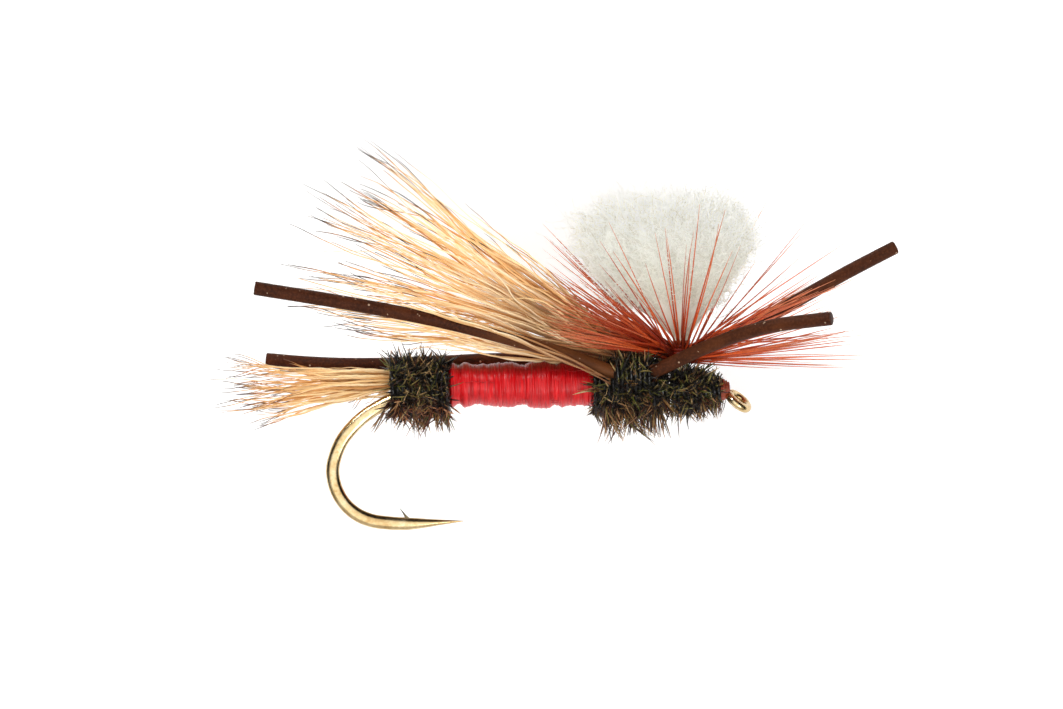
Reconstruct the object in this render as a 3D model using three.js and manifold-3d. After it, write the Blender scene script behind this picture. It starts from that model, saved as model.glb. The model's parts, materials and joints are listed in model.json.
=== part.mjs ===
// A parachute dry fly on a long-shank, forged, down-eye hook: hair tail, herl butt,
// floss band, swept hair wing, herl thorax and head, a yarn post with a feather
// hackle wound round its base, and two rubber strands whose four free ends are the legs.
//
// Millimetres, +Z up, +X towards the hook eye, +Y the fly's left. Everything is laid out
// in the "shank frame": x = 0 at the hook eye, z = 0 on the shank's axis, y = 0 in the
// hook's plane. The exported group shifts that frame so that the origin is the middle of
// the forged bend where vise jaws hold the hook. "Near" is the -Y side and "far" the +Y side.
import * as THREE from "three";
import { mergeVertices } from "three/addons/utils/BufferGeometryUtils.js";
import { ConvexGeometry } from "three/addons/geometries/ConvexGeometry.js";
import Module from "manifold-3d";

const wasm = await Module();
wasm.setup();

// ------------------------------------------------------------------ driving dimensions
const SHANK_R = 0.29; // wire radius along the shank
const EYE_WIRE_R = 0.2; // the wire is tapered towards the eye
const EYE_R = 0.5; // eye ring, to the middle of its wire
const EYE_DROP = 39; // degrees the eye is turned down
const EYE_START = [-0.45, -0.08]; // where the shank meets the eye, x and z
const BEND_A = 0.31; // half width of the forged bend, in the hook's plane
const FLAT_Y = 0.22; // half thickness of the forged bend: its two flats
const GRIP = [-17.85, -4.97]; // where vise jaws hold the bend, x and z

const BASE_R = 0.4; // outside of the thread underwrap
const BASE_INNER_R = SHANK_R + 0.015;
const BORE_R = BASE_R + 0.02; // bore of what sits on the underwrap
const UNDER_R = 0.76; // outside of the tail butts laid along the shank
const UNDER_Z = 0.2; // they lie on top of the shank, so their sleeve is off centre
const WING_SLEEVE_R = 0.9;
const WING_SLEEVE_Z = UNDER_Z + 0.02; // also the centre of the lashings and herl over it
const BODY_Z = 0.31; // centre of the floss band
const BODY_R = 0.99;
const BODY_INNER_R = UNDER_R + 0.16; // inside of the floss band and the rear herl
const HERL_R = 1.72; // wound herl to its barbule tips

const LEG_R = 0.31; // round rubber strand
const LEG_GAP = 0.05; // clearance at each bending point of a leg
const STRAND_Y = 1.22; // the strands are lashed this far out on each side
const STRAND_Z = 0.9;
const STRAND_DIP = 0.02; // the lashing pulls them this far in and down
const REAR_ROOT_X = -5.85; // bending points of the legs at the lashing
const FRONT_ROOT_X = -3.9;

const POST_X = -2.66;
const POST_R = 0.35;
const POST_FOOT_R = 0.78;
const HACKLE_Z = [1.5, 2.1]; // the two ends of the wound quill
const HACKLE_RING_R = 0.6; // from the post's axis to the quill's
const HACKLE_TURNS = 3;
const QUILL_R = 0.11;

// x spans of the pieces wound side by side along the shank, rear end first
const PIECE_GAP = 0.06;
const BASE_SPAN = [-13.9, -1.16];
const TAIL_LASHING_SPAN = [-14.55, -13.75];
const FLOSS_SPAN = [-13.02, -6.72];
const REAR_HERL_SPAN = [-15.95, FLOSS_SPAN[0] - PIECE_GAP];
const THORAX_SPAN = [FLOSS_SPAN[1] + PIECE_GAP, -3.42];
const WING_LASHING_SPAN = [-5.3, -4.3];
const LEG_LASHING_SPAN = [-5.02, -4.66];
const HEAD_SPAN = [THORAX_SPAN[1] + PIECE_GAP, -1.14];
const HEAD_THREAD_SPAN = [-1.1, -0.46];

// ------------------------------------------------------------------ solids and geometry
const vec = (x, y, z) => new THREE.Vector3(x, y, z);
const radians = (degrees) => (degrees * Math.PI) / 180;
const smoothCurve = (points) => new THREE.CatmullRomCurve3(points, false, "centripetal");
const unite = (solids) => solids.reduce((sum, next) => sum.add(next));

// one value for each of `count` angles round a circle, starting half a step in
const around = (count, make) =>
  Array.from({ length: count }, (_, k) => make(((k + 0.5) / count) * Math.PI * 2, k));

function signedVolume(geometry) {
  const position = geometry.attributes.position;
  const index = geometry.index.array;
  const corners = [vec(), vec(), vec()];
  let volume = 0;
  for (let i = 0; i < index.length; i += 3) {
    corners.forEach((corner, k) => corner.fromBufferAttribute(position, index[i + k]));
    volume += corners[0].dot(corners[1].cross(corners[2])) / 6;
  }
  return volume;
}

// a closed mesh as a solid, faces turned outwards and collapsed triangles left out
function solid(source) {
  let geometry = source.clone();
  for (const name of ["normal", "uv"]) geometry.deleteAttribute(name);
  geometry = mergeVertices(geometry, 1e-5);
  const index = geometry.index.array;
  const inverted = signedVolume(geometry) < 0;
  const triangles = [];
  for (let i = 0; i < index.length; i += 3) {
    const first = index[i];
    const second = index[i + (inverted ? 2 : 1)];
    const third = index[i + (inverted ? 1 : 2)];
    if (first !== second && second !== third && first !== third) {
      triangles.push(first, second, third);
    }
  }
  return new wasm.Manifold(
    new wasm.Mesh({
      numProp: 3,
      vertProperties: new Float32Array(geometry.attributes.position.array),
      triVerts: new Uint32Array(triangles),
    }),
  );
}

function geometryOf(body) {
  const mesh = body.getMesh();
  const stride = mesh.numProp;
  const positions = new Float32Array(mesh.numVert * 3);
  for (let i = 0; i < mesh.numVert; i++) {
    positions.set(mesh.vertProperties.subarray(i * stride, i * stride + 3), i * 3);
  }
  const geometry = new THREE.BufferGeometry();
  geometry.setAttribute("position", new THREE.BufferAttribute(positions, 3));
  geometry.setIndex(new THREE.BufferAttribute(new Uint32Array(mesh.triVerts), 1));
  geometry.computeVertexNormals();
  return geometry;
}

// the largest body of a solid: a cut can leave crumbs
function mainBody(body) {
  const parts = body.decompose();
  parts.sort((a, b) => b.volume() - a.volume());
  return parts[0];
}

// rings of points joined into a closed skin, each end closed by a fan round its middle
function skin(rings) {
  const count = rings[0].length;
  const positions = rings.flat().flatMap((p) => [p.x, p.y, p.z]);
  const index = [];
  for (let i = 0; i + 1 < rings.length; i++) {
    for (let k = 0; k < count; k++) {
      const here = i * count + k;
      const beside = i * count + ((k + 1) % count);
      index.push(here, beside, here + count, beside, beside + count, here + count);
    }
  }
  for (const end of [0, rings.length - 1]) {
    const middle = rings[end].reduce((sum, p) => sum.add(p), vec(0, 0, 0)).divideScalar(count);
    const hub = positions.length / 3;
    positions.push(middle.x, middle.y, middle.z);
    for (let k = 0; k < count; k++) {
      const here = end * count + k;
      const beside = end * count + ((k + 1) % count);
      if (end === 0) index.push(hub, beside, here);
      else index.push(hub, here, beside);
    }
  }
  const geometry = new THREE.BufferGeometry();
  geometry.setAttribute("position", new THREE.Float32BufferAttribute(positions, 3));
  geometry.setIndex(index);
  return geometry;
}

// a round solid rod along points, with a radius at each point
function rod(points, radii, sides, twist = 0) {
  const last = points.length - 1;
  let normal = null;
  const rings = points.map((point, i) => {
    const tangent = vec()
      .subVectors(points[Math.min(i + 1, last)], points[Math.max(i - 1, 0)])
      .normalize();
    if (!normal) normal = Math.abs(tangent.y) < 0.9 ? vec(0, 1, 0) : vec(1, 0, 0);
    normal = normal.clone().addScaledVector(tangent, -normal.dot(tangent)).normalize();
    const binormal = vec().crossVectors(tangent, normal);
    return around(sides, (angle) =>
      point
        .clone()
        .addScaledVector(normal, radii[i] * Math.cos(angle + twist))
        .addScaledVector(binormal, radii[i] * Math.sin(angle + twist)),
    );
  });
  return solid(skin(rings));
}

const lathe = (profile, segments) =>
  new THREE.LatheGeometry(profile.map(([along, r]) => new THREE.Vector2(r, along)), segments);

// a profile of [x, radius] pairs turned about the X axis, then moved up by z
function turned(profile, z = 0, segments = 20) {
  const geometry = lathe(profile, segments);
  geometry.rotateZ(-Math.PI / 2);
  geometry.translate(0, 0, z);
  return solid(geometry);
}

// a plain solid cylinder along X
const cylinderX = (x0, x1, r, z = 0, segments = 20) =>
  turned([[x0, 0], [x0, r], [x1, r], [x1, 0]], z, segments);

// closed profile of turns side by side on a sleeve, one bulge per turn; `crest` is the flat
// top of a bulge as shares of its turn, `swell` scales the depth along the winding
function windingProfile([start, end], options) {
  const { inner, low, high, turns, swell = () => 1, crest = [0.28, 0.72] } = options;
  const radius = (outer, share) => inner + (outer - inner) * swell(share);
  const width = (end - start) / turns;
  const profile = [[start, inner]];
  for (let i = 0; i < turns; i++) {
    const from = start + ((end - start) * i) / turns;
    const top = radius(high, (i + 0.5) / turns);
    profile.push(
      [from, radius(low, i / turns)],
      [from + crest[0] * width, top],
      [from + crest[1] * width, top],
    );
  }
  profile.push([end, radius(low, 1)], [end, inner], [start, inner]);
  return profile;
}
const wound = (span, { z = 0, segments = 20, ...options }) =>
  turned(windingProfile(span, options), z, segments);

// repeatable random numbers from 0 to 1
function random(seed) {
  let state = seed >>> 0;
  return () => {
    state = (state + 0x6d2b79f5) >>> 0;
    let t = state;
    t = Math.imul(t ^ (t >>> 15), t | 1);
    t ^= t + Math.imul(t ^ (t >>> 7), t | 61);
    return ((t ^ (t >>> 14)) >>> 0) / 4294967296;
  };
}

// ------------------------------------------------------------------ hook
// centreline of the wire from the eye back along the shank, round the bend and to the point:
// x, z, half width in the hook's plane, half thickness across it, how far it is forged flat
const WIRE = [
  [...EYE_START, EYE_WIRE_R, EYE_WIRE_R, 0],
  [-0.68, -0.01, EYE_WIRE_R, EYE_WIRE_R, 0],
  [-1.0, 0.0, 0.21, 0.21, 0],
  [-1.6, 0.0, 0.25, 0.25, 0],
  [-2.4, 0.0, SHANK_R, SHANK_R, 0],
  [-8.0, 0.0, SHANK_R, SHANK_R, 0],
  [-13.9, 0.0, SHANK_R, SHANK_R, 0],
  [-14.8, -0.07, SHANK_R, SHANK_R, 0],
  [-15.5, -0.27, 0.295, 0.28, 0.2],
  [-16.1, -0.57, 0.3, 0.25, 0.6],
  [-16.83, -1.03, 0.305, FLAT_Y, 1],
  [-17.42, -1.56, BEND_A, FLAT_Y, 1],
  [-17.87, -2.12, BEND_A, FLAT_Y, 1],
  [-18.17, -2.75, BEND_A, FLAT_Y, 1],
  [-18.33, -3.45, BEND_A, FLAT_Y, 1],
  [-18.24, -4.2, BEND_A, FLAT_Y, 1],
  [...GRIP, BEND_A, FLAT_Y, 1],
  [-17.28, -5.5, 0.315, FLAT_Y, 1],
  [-16.6, -5.8, 0.315, FLAT_Y, 1],
  [-15.75, -5.92, 0.31, FLAT_Y, 1],
  [-15.05, -5.95, 0.29, 0.215, 0.7],
  [-14.5, -5.94, 0.25, 0.2, 0.3],
  [-13.9, -5.91, 0.18, 0.16, 0],
  [-13.2, -5.87, 0.1, 0.1, 0],
  [-12.42, -5.83, 0.02, 0.02, 0],
];
const BEND_STATIONS = [9, 19]; // first and last station that is followed by a halfway ring

// twelve points of the section: round wire, and forged wire with two flat sides
const ROUND = around(12, (angle) => [Math.cos(angle), Math.sin(angle)]);
const FORGED = ROUND.map(([inPlane, across]) => {
  const size = Math.abs(inPlane);
  const side = Math.sign(across);
  if (size < 0.3) return [Math.sign(inPlane) * 0.52, side];
  if (size < 0.8) return [Math.sign(inPlane) * 0.82, side * 0.72];
  return [Math.sign(inPlane) * 0.98, side * 0.26];
});

// side view of the barb, x and z: a sliver cut up out of the spear, back from the point
const BARB_OUTLINE = [
  [-14.62, -5.82], [-14.83, -5.72], [-15.26, -5.26],
  [-15.3, -5.24], [-14.97, -5.66], [-15.0, -5.82],
];
const BARB_THICKNESS = 0.16;

function makeWire() {
  const curve = smoothCurve(WIRE.map(([x, z]) => vec(x, 0, z)));
  const last = WIRE.length - 1;
  const rings = [];
  WIRE.forEach((station, i) => {
    const next = WIRE[Math.min(i + 1, last)];
    const steps = i >= BEND_STATIONS[0] && i <= BEND_STATIONS[1] ? 2 : 1;
    for (let k = 0; k < steps; k++) {
      const share = k / steps;
      const [x, z, halfWidth, halfThickness, forging] = station.map(
        (value, column) => value + (next[column] - value) * share,
      );
      const along = (i + share) / last;
      const centre = k === 0 ? vec(x, 0, z) : curve.getPoint(along);
      const tangent = curve.getTangent(along);
      const side = vec(tangent.z, 0, -tangent.x); // in the hook's plane, square to the wire
      rings.push(
        ROUND.map(([inPlane, across], corner) => {
          const flat = FORGED[corner];
          const width = inPlane + (flat[0] - inPlane) * forging;
          const point = centre.clone().addScaledVector(side, width * halfWidth);
          point.y = (across + (flat[1] - across) * forging) * halfThickness;
          return point;
        }),
      );
    }
  });
  return solid(skin(rings));
}

function makeEye() {
  const ring = new THREE.TorusGeometry(EYE_R, EYE_WIRE_R, 8, 18);
  const drop = radians(EYE_DROP);
  ring.rotateZ(Math.PI / 18);
  ring.rotateY(drop);
  ring.translate(
    EYE_START[0] + EYE_R * Math.cos(drop),
    0,
    EYE_START[1] - EYE_R * Math.sin(drop),
  );
  return solid(ring);
}

function makeBarb() {
  const outline = new THREE.Shape(BARB_OUTLINE.map(([x, z]) => new THREE.Vector2(x, z)));
  const sliver = new THREE.ExtrudeGeometry(outline, {
    depth: BARB_THICKNESS,
    bevelEnabled: false,
  });
  sliver.rotateX(Math.PI / 2);
  sliver.translate(0, BARB_THICKNESS / 2, 0);
  return solid(sliver);
}

const hook = mainBody(unite([makeWire(), makeEye(), makeBarb()]));

// ------------------------------------------------------------------ rubber strands
// turning a leg by a positive angle about its axis lifts it
const REAR_AXIS = vec(0, 1, 0);
const FRONT_AXIS = vec(0, -1, 0);

// travel: degrees of the root bend, up positive; the tip bend follows it 1:1
// tipBend: where the tip bend is, as a share of the length
// path: x, y, z from the bending point at the lashing to the cut end
const LEGS = {
  near_rear: {
    travel: [-20, 12],
    tipBend: 0.46,
    axis: REAR_AXIS,
    path: [
      [REAR_ROOT_X, -STRAND_Y, STRAND_Z], [-6.6, -1.32, 1.24], [-8.19, -1.6, 1.78],
      [-9.99, -1.86, 2.28], [-11.79, -2.1, 2.76], [-13.59, -2.32, 3.2], [-15.39, -2.5, 3.56],
      [-17.64, -2.7, 3.97], [-19.89, -2.88, 4.34], [-21.78, -3.0, 4.64],
    ],
  },
  far_rear: {
    travel: [-15, 12],
    tipBend: 0.46,
    axis: REAR_AXIS,
    path: [
      [REAR_ROOT_X, STRAND_Y, STRAND_Z], [-6.84, 1.34, 1.17], [-8.19, 1.52, 1.36],
      [-10.89, 1.86, 1.43], [-13.14, 2.14, 1.33], [-15.39, 2.38, 1.24],
      [-17.64, 2.56, 1.21], [-19.89, 2.72, 1.31], [-21.42, 2.82, 1.44],
    ],
  },
  near_front: {
    travel: [-20, 22],
    tipBend: 0.48,
    axis: FRONT_AXIS,
    path: [
      [FRONT_ROOT_X, -STRAND_Y, STRAND_Z], [-2.79, -1.66, 1.42], [-1.89, -2.02, 1.85],
      [-0.99, -2.4, 2.22], [0.36, -2.95, 2.7], [1.71, -3.5, 3.0], [4.0, -4.4, 3.28],
    ],
  },
  far_front: {
    travel: [-22, 18],
    tipBend: 0.46,
    axis: FRONT_AXIS,
    path: [
      [FRONT_ROOT_X, STRAND_Y, STRAND_Z], [-2.85, 1.46, 1.4], [-1.89, 1.66, 1.87],
      [-0.09, 2.02, 2.7], [1.26, 2.29, 3.38], [2.61, 2.55, 4.1], [4.86, 2.98, 5.36],
      [7.15, 3.4, 6.55],
    ],
  },
};
const pathCurve = (path) => smoothCurve(path.map((point) => vec(...point)));
for (const leg of Object.values(LEGS)) leg.curve = pathCurve(leg.path);

// a stretch of strand between two shares of a curve's length, eased down where it meets a
// bending point: always at its start, and at its end unless that is the cut end
function strand(curve, { from, to, cutEnd = false, stations }) {
  const length = curve.getLength();
  const start = from * length + LEG_GAP / 2;
  const end = to * length - (cutEnd ? 0 : LEG_GAP / 2);
  const low = start + 0.16;
  const high = end - (cutEnd ? 0.04 : 0.16);
  const rings = [[start, 0.17], [start + 0.06, 0.25], [low, LEG_R]]; // distance, radius
  for (let i = 1; i < stations; i++) rings.push([low + ((high - low) * i) / stations, LEG_R]);
  rings.push([high, LEG_R]);
  if (cutEnd) rings.push([end, LEG_R - 0.02]);
  else rings.push([end - 0.06, 0.25], [end, 0.17]);
  return rod(
    rings.map(([distance]) => curve.getPointAt(Math.min(1, distance / length))),
    rings.map(([, r]) => r),
    8,
  );
}

// the lashed stretch of strand between its two legs; side is -1 for near, 1 for far
function heldStrand(side) {
  const y = side * (STRAND_Y - STRAND_DIP);
  const z = STRAND_Z - STRAND_DIP;
  const curve = pathCurve([
    [REAR_ROOT_X, side * STRAND_Y, STRAND_Z],
    [-5.2, y, z],
    [-4.55, y, z],
    [FRONT_ROOT_X, side * STRAND_Y, STRAND_Z],
  ]);
  return strand(curve, { from: 0, to: 1, stations: 4 });
}

// a point of a leg turned by the root bend, and by the tip bend when it is past that
function swung({ curve, axis, tipBend }, share, degrees) {
  const angle = radians(degrees);
  const root = curve.getPointAt(0);
  const point = curve.getPointAt(share);
  if (share > tipBend) {
    const bend = curve.getPointAt(tipBend);
    point.sub(bend).applyAxisAngle(axis, angle).add(bend);
  }
  return point.sub(root).applyAxisAngle(axis, angle).add(root);
}

// a convex solid round a set of hexagonal beads, each also pushed by `out` to open that way
function wedge(centres, r, out) {
  const cornerR = r / 0.87; // the hexagon's flats then stand about r from its middle
  const points = [];
  for (const centre of centres) {
    for (const shift of [vec(0, 0, 0), out]) {
      around(6, (angle) => {
        for (const end of [-0.5, 0.5]) {
          const corner = vec(r * end, cornerR * Math.cos(angle), cornerR * Math.sin(angle));
          points.push(centre.clone().add(shift).add(corner));
        }
      });
    }
  }
  return solid(new ConvexGeometry(points));
}

// the room a leg sweeps near its root, for the soft pieces to leave open
function sweptRoot(leg) {
  const reach = 2.6;
  const clearance = 0.08;
  const length = leg.curve.getLength();
  const centres = [];
  for (const degrees of [leg.travel[0], 0, leg.travel[1]]) {
    for (const share of [0, 0.5, 1]) {
      centres.push(swung(leg, (reach * share) / length, degrees));
    }
  }
  return wedge(centres, LEG_R + clearance, vec(0, Math.sign(centres[0].y) * 1.2, 0.35));
}
const legRoom = unite(Object.values(LEGS).map(sweptRoot));

// ------------------------------------------------------------------ hair bundles
// hair fanning out from an origin towards -X, in rows that never cross; each row is
// elevation, hair count, half spread, step to the next row (all degrees but the count), length
function hairFan({ origin, seed, rootLength, rootR, tipR, rows }) {
  const draw = random(seed);
  const hairs = [];
  for (const [rowElevation, count, spread, step, rowLength] of rows) {
    for (let i = 0; i < count; i++) {
      const side = (i / (count - 1)) * 2 - 1;
      const azimuth = radians(side * spread + (draw() - 0.5) * 0.25 * step);
      const elevation = radians(rowElevation + (draw() - 0.5) * 0.5 * step);
      const length = rowLength * (1 - 0.14 * draw() - 0.1 * side * side);
      const direction = vec(
        -Math.cos(elevation) * Math.cos(azimuth),
        Math.sin(azimuth) * Math.cos(elevation),
        Math.sin(elevation),
      );
      const distances = [rootLength - 0.5, rootLength + (length - rootLength) * 0.55, length];
      const points = distances.map((d) => origin.clone().addScaledVector(direction, d));
      hairs.push(rod(points, [rootR, rootR * 0.9, tipR], 3, draw() * 2));
    }
  }
  return hairs;
}

// the solid stretch of a bundle, where its hair is still packed, from elliptical stations:
// middle x and z, direction of the upright half axis in x and z, half width, half height
function packed(stations, sides = 16) {
  const rings = stations.map(([x, z, upX, upZ, halfWidth, halfHeight]) =>
    around(sides, (angle) => {
      const rise = halfHeight * Math.sin(angle);
      return vec(x + upX * rise, halfWidth * Math.cos(angle), z + upZ * rise);
    }),
  );
  return solid(skin(rings));
}
// the same stations, larger all round: the room that other pieces leave for a bundle
const grown = (stations, byWidth, byHeight) =>
  stations.map(([x, z, upX, upZ, halfWidth, halfHeight]) =>
    [x, z, upX, upZ, halfWidth + byWidth, halfHeight + byHeight]);

// tail: butts sleeved along the shank, packed root over the bend, then the fan
const TAIL_SLEEVE = [[-15.0, 0], [-15.0, UNDER_R], [-7.2, UNDER_R], [-6.75, 0.62], [-6.75, 0]];
const TAIL_ROOT = [
  [-14.6, 0.42, 0, 1, 0.62, 0.5],
  [-15.3, 0.42, 0, 1, 0.74, 0.52],
  [-16.1, 0.32, 0.05, 1, 0.8, 0.6],
  [-17.0, 0.12, 0.1, 1, 0.9, 0.72],
  [-17.7, -0.02, 0.1, 1, 0.84, 0.66],
];
const TAIL_FAN = {
  origin: vec(-14.0, 0, 0.62),
  seed: 11,
  rootLength: 3.2,
  rootR: 0.085,
  tipR: 0.03,
  rows: [
    [2.5, 4, 10, 4, 10.4], [-2.5, 5, 13, 4, 10.2],
    [-7.5, 5, 13, 4, 10.0], [-12.5, 4, 10, 4, 9.6],
  ],
};
function makeTailHair() {
  const sleeve = turned(TAIL_SLEEVE, UNDER_Z).subtract(cylinderX(-15.6, -6.5, BORE_R));
  return mainBody(
    unite([sleeve, packed(TAIL_ROOT), ...hairFan(TAIL_FAN)])
      .subtract(hook)
      .subtract(cylinderX(-14.6, -6.5, BORE_R))
      .subtract(cylinderX(-15.8, -13.0, 0.31, 0, 16)), // room for the hook's shank
  );
}

// wing: butts sleeved along the shank, packed root rising back from the tie-in, then the fan
const WING_SLEEVE = [
  [-6.3, 0], [-6.3, 0.72], [-5.9, WING_SLEEVE_R], [-4.0, WING_SLEEVE_R], [-3.55, 0.66], [-3.55, 0],
];
const WING_ROOT = [
  [-5.38, 0.95, 0, 1, 0.66, 0.5],
  [-5.9, 1.36, 0.2, 0.98, 0.78, 0.62],
  [-6.7, 1.85, 0.35, 0.94, 0.82, 0.84],
  [-7.7, 2.45, 0.38, 0.92, 0.86, 1.14],
  [-8.4, 2.86, 0.38, 0.92, 0.8, 1.14],
];
const WING_FAN = {
  origin: vec(-4.2, 0, 0.9),
  seed: 5,
  rootLength: 4.3,
  rootR: 0.1,
  tipR: 0.03,
  rows: [
    [8, 2, 3, 3, 17.9], [13, 3, 4.5, 4, 18.1], [18, 4, 6, 4, 18.3], [23, 5, 7, 4, 18.2],
    [28, 5, 8, 4, 18.0], [33, 5, 8, 4, 17.6], [38, 4, 7, 4, 16.9], [42, 2, 4, 3, 16.4],
  ],
};
function makeWingHair() {
  const bore = cylinderX(-7, -3, BORE_R);
  const sleeve = turned(WING_SLEEVE, WING_SLEEVE_Z).subtract(bore);
  const bandRoom = cylinderX(-13.4, -6.0, BODY_R + 0.04, BODY_Z);
  const [x0, x1] = WING_LASHING_SPAN;
  const lashingRoom = cylinderX(x0 - 0.02, x1 + 0.02, 1.3, WING_SLEEVE_Z)
    .subtract(cylinderX(x0 - 0.1, x1 + 0.1, WING_SLEEVE_R, WING_SLEEVE_Z));
  return mainBody(
    unite([sleeve, packed(WING_ROOT), ...hairFan(WING_FAN)])
      .subtract(bore)
      .subtract(bandRoom)
      .subtract(lashingRoom),
  );
}

// ------------------------------------------------------------------ thread
const makeThreadBase = () =>
  turned([
    [BASE_SPAN[0], BASE_INNER_R],
    [BASE_SPAN[0], BASE_R],
    [BASE_SPAN[1], BASE_R],
    [BASE_SPAN[1], BASE_INNER_R],
    [BASE_SPAN[0], BASE_INNER_R],
  ]);

const makeTailLashing = () =>
  wound(TAIL_LASHING_SPAN, {
    inner: UNDER_R + 0.012, low: UNDER_R + 0.04, high: UNDER_R + 0.1, turns: 3, z: UNDER_Z,
  });

const makeWingLashing = () =>
  wound(WING_LASHING_SPAN, {
    inner: WING_SLEEVE_R + 0.015,
    low: WING_SLEEVE_R + 0.05,
    high: WING_SLEEVE_R + 0.1,
    turns: 3,
    z: WING_SLEEVE_Z,
  });

const makeHeadThread = () =>
  mainBody(
    wound(HEAD_THREAD_SPAN, {
      inner: 0.25, low: 0.44, high: 0.52, turns: 3, segments: 16, z: 0.02,
      swell: (share) => 1 - 0.45 * share * share,
    }).subtract(hook),
  );

// the tight convex outline round circles of [y, z, radius], each grown by `grow`
function hullAround(circles, grow) {
  const points = [];
  for (const [y, z, r] of circles) {
    for (let k = 0; k < 24; k++) {
      const angle = (k / 24) * Math.PI * 2;
      points.push([y + (r + grow) * Math.cos(angle), z + (r + grow) * Math.sin(angle)]);
    }
  }
  points.sort((a, b) => a[0] - b[0] || a[1] - b[1]);
  const cross = (o, a, b) => (a[0] - o[0]) * (b[1] - o[1]) - (a[1] - o[1]) * (b[0] - o[0]);
  const half = (list) => {
    const chain = [];
    for (const point of list) {
      while (chain.length > 1 && cross(chain.at(-2), chain.at(-1), point) <= 1e-9) chain.pop();
      chain.push(point);
    }
    chain.pop();
    return chain;
  };
  const outline = [...half(points), ...half(points.reverse())];
  return outline.map(([y, z]) => new THREE.Vector2(y, z));
}

// a flat loop round the sleeve and over both held strands
function strandLoop([x0, x1], { strandR, sleeveR, thickness }) {
  const y = STRAND_Y - STRAND_DIP;
  const z = STRAND_Z - STRAND_DIP;
  const circles = [[-y, z, strandR], [y, z, strandR], [0, WING_SLEEVE_Z, sleeveR]];
  const shape = new THREE.Shape(hullAround(circles, thickness));
  shape.holes.push(new THREE.Path(hullAround(circles, 0.012)));
  const geometry = new THREE.ExtrudeGeometry(shape, { depth: x1 - x0, bevelEnabled: false });
  // the extrusion is turned to run along X, the shape's x along Y and its y along Z
  geometry.rotateX(Math.PI / 2);
  geometry.rotateZ(Math.PI / 2);
  geometry.translate(x0, 0, 0);
  return solid(geometry);
}
const makeLegLashing = () =>
  strandLoop(LEG_LASHING_SPAN, {
    strandR: LEG_R + 0.01, sleeveR: WING_SLEEVE_R + 0.12, thickness: 0.1,
  });

// ------------------------------------------------------------------ floss and herl
const makeFloss = () =>
  wound(FLOSS_SPAN, {
    inner: BODY_INNER_R, low: BODY_R - 0.06, high: BODY_R, turns: 8, z: BODY_Z,
    swell: (share) => 1 - 0.05 * Math.cos(share * 19) - 0.12 * share * share,
  });

function makeRearHerl() {
  const tailRoom = packed([
    [-14.4, 0.42, 0, 1, 0.7, 0.56],
    ...grown(TAIL_ROOT.slice(1, 3), 0.1, 0.08),
  ], 12);
  const herl = wound(REAR_HERL_SPAN, {
    inner: BODY_INNER_R, low: HERL_R - 0.3, high: HERL_R, turns: 4, z: 0.15,
    swell: (share) => 0.9 + 0.1 * Math.sin(Math.PI * share),
  });
  return mainBody(herl.subtract(tailRoom).subtract(hook));
}

function makeThoraxHerl() {
  const heldRoom = unite([-1, 1].map((side) => {
    const ends = [REAR_ROOT_X, FRONT_ROOT_X].map((x) => vec(x, side * STRAND_Y, STRAND_Z));
    return wedge(ends, LEG_R + 0.06, vec(0, 0, 0));
  }));
  const lashingRoom = strandLoop([LEG_LASHING_SPAN[0] - 0.1, LEG_LASHING_SPAN[1] + 0.1], {
    strandR: LEG_R - 0.1, sleeveR: WING_SLEEVE_R, thickness: 0.32,
  });
  const wingRoom = packed([
    [-5.1, 0.95, 0, 1, 0.8, 0.56],
    ...grown(WING_ROOT.slice(1, 4), 0.06, 0.06),
  ], 12);
  const herl = wound(THORAX_SPAN, {
    inner: 1.2, low: HERL_R + 0.03, high: HERL_R + 0.26, turns: 3, z: WING_SLEEVE_Z,
  });
  return mainBody(
    herl.subtract(legRoom).subtract(heldRoom).subtract(lashingRoom).subtract(wingRoom),
  );
}

function makeHeadHerl() {
  const stemRoomR = POST_R + 0.14;
  const herl = wound(HEAD_SPAN, {
    inner: 0.2, low: 0.82, high: 1.06, turns: 3, z: 0.12,
    swell: (share) => 1 - 0.36 * share,
  });
  return mainBody(
    herl
      .subtract(legRoom)
      .subtract(cylinderX(-3.5, -1.0, BASE_R + 0.03))
      .subtract(cylinderX(-3.5, -2.0, POST_FOOT_R + 0.04, UNDER_Z))
      .subtract(rod([vec(POST_X, 0, 0), vec(POST_X, 0, 3)], [stemRoomR, stemRoomR], 14)),
  );
}

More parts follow.
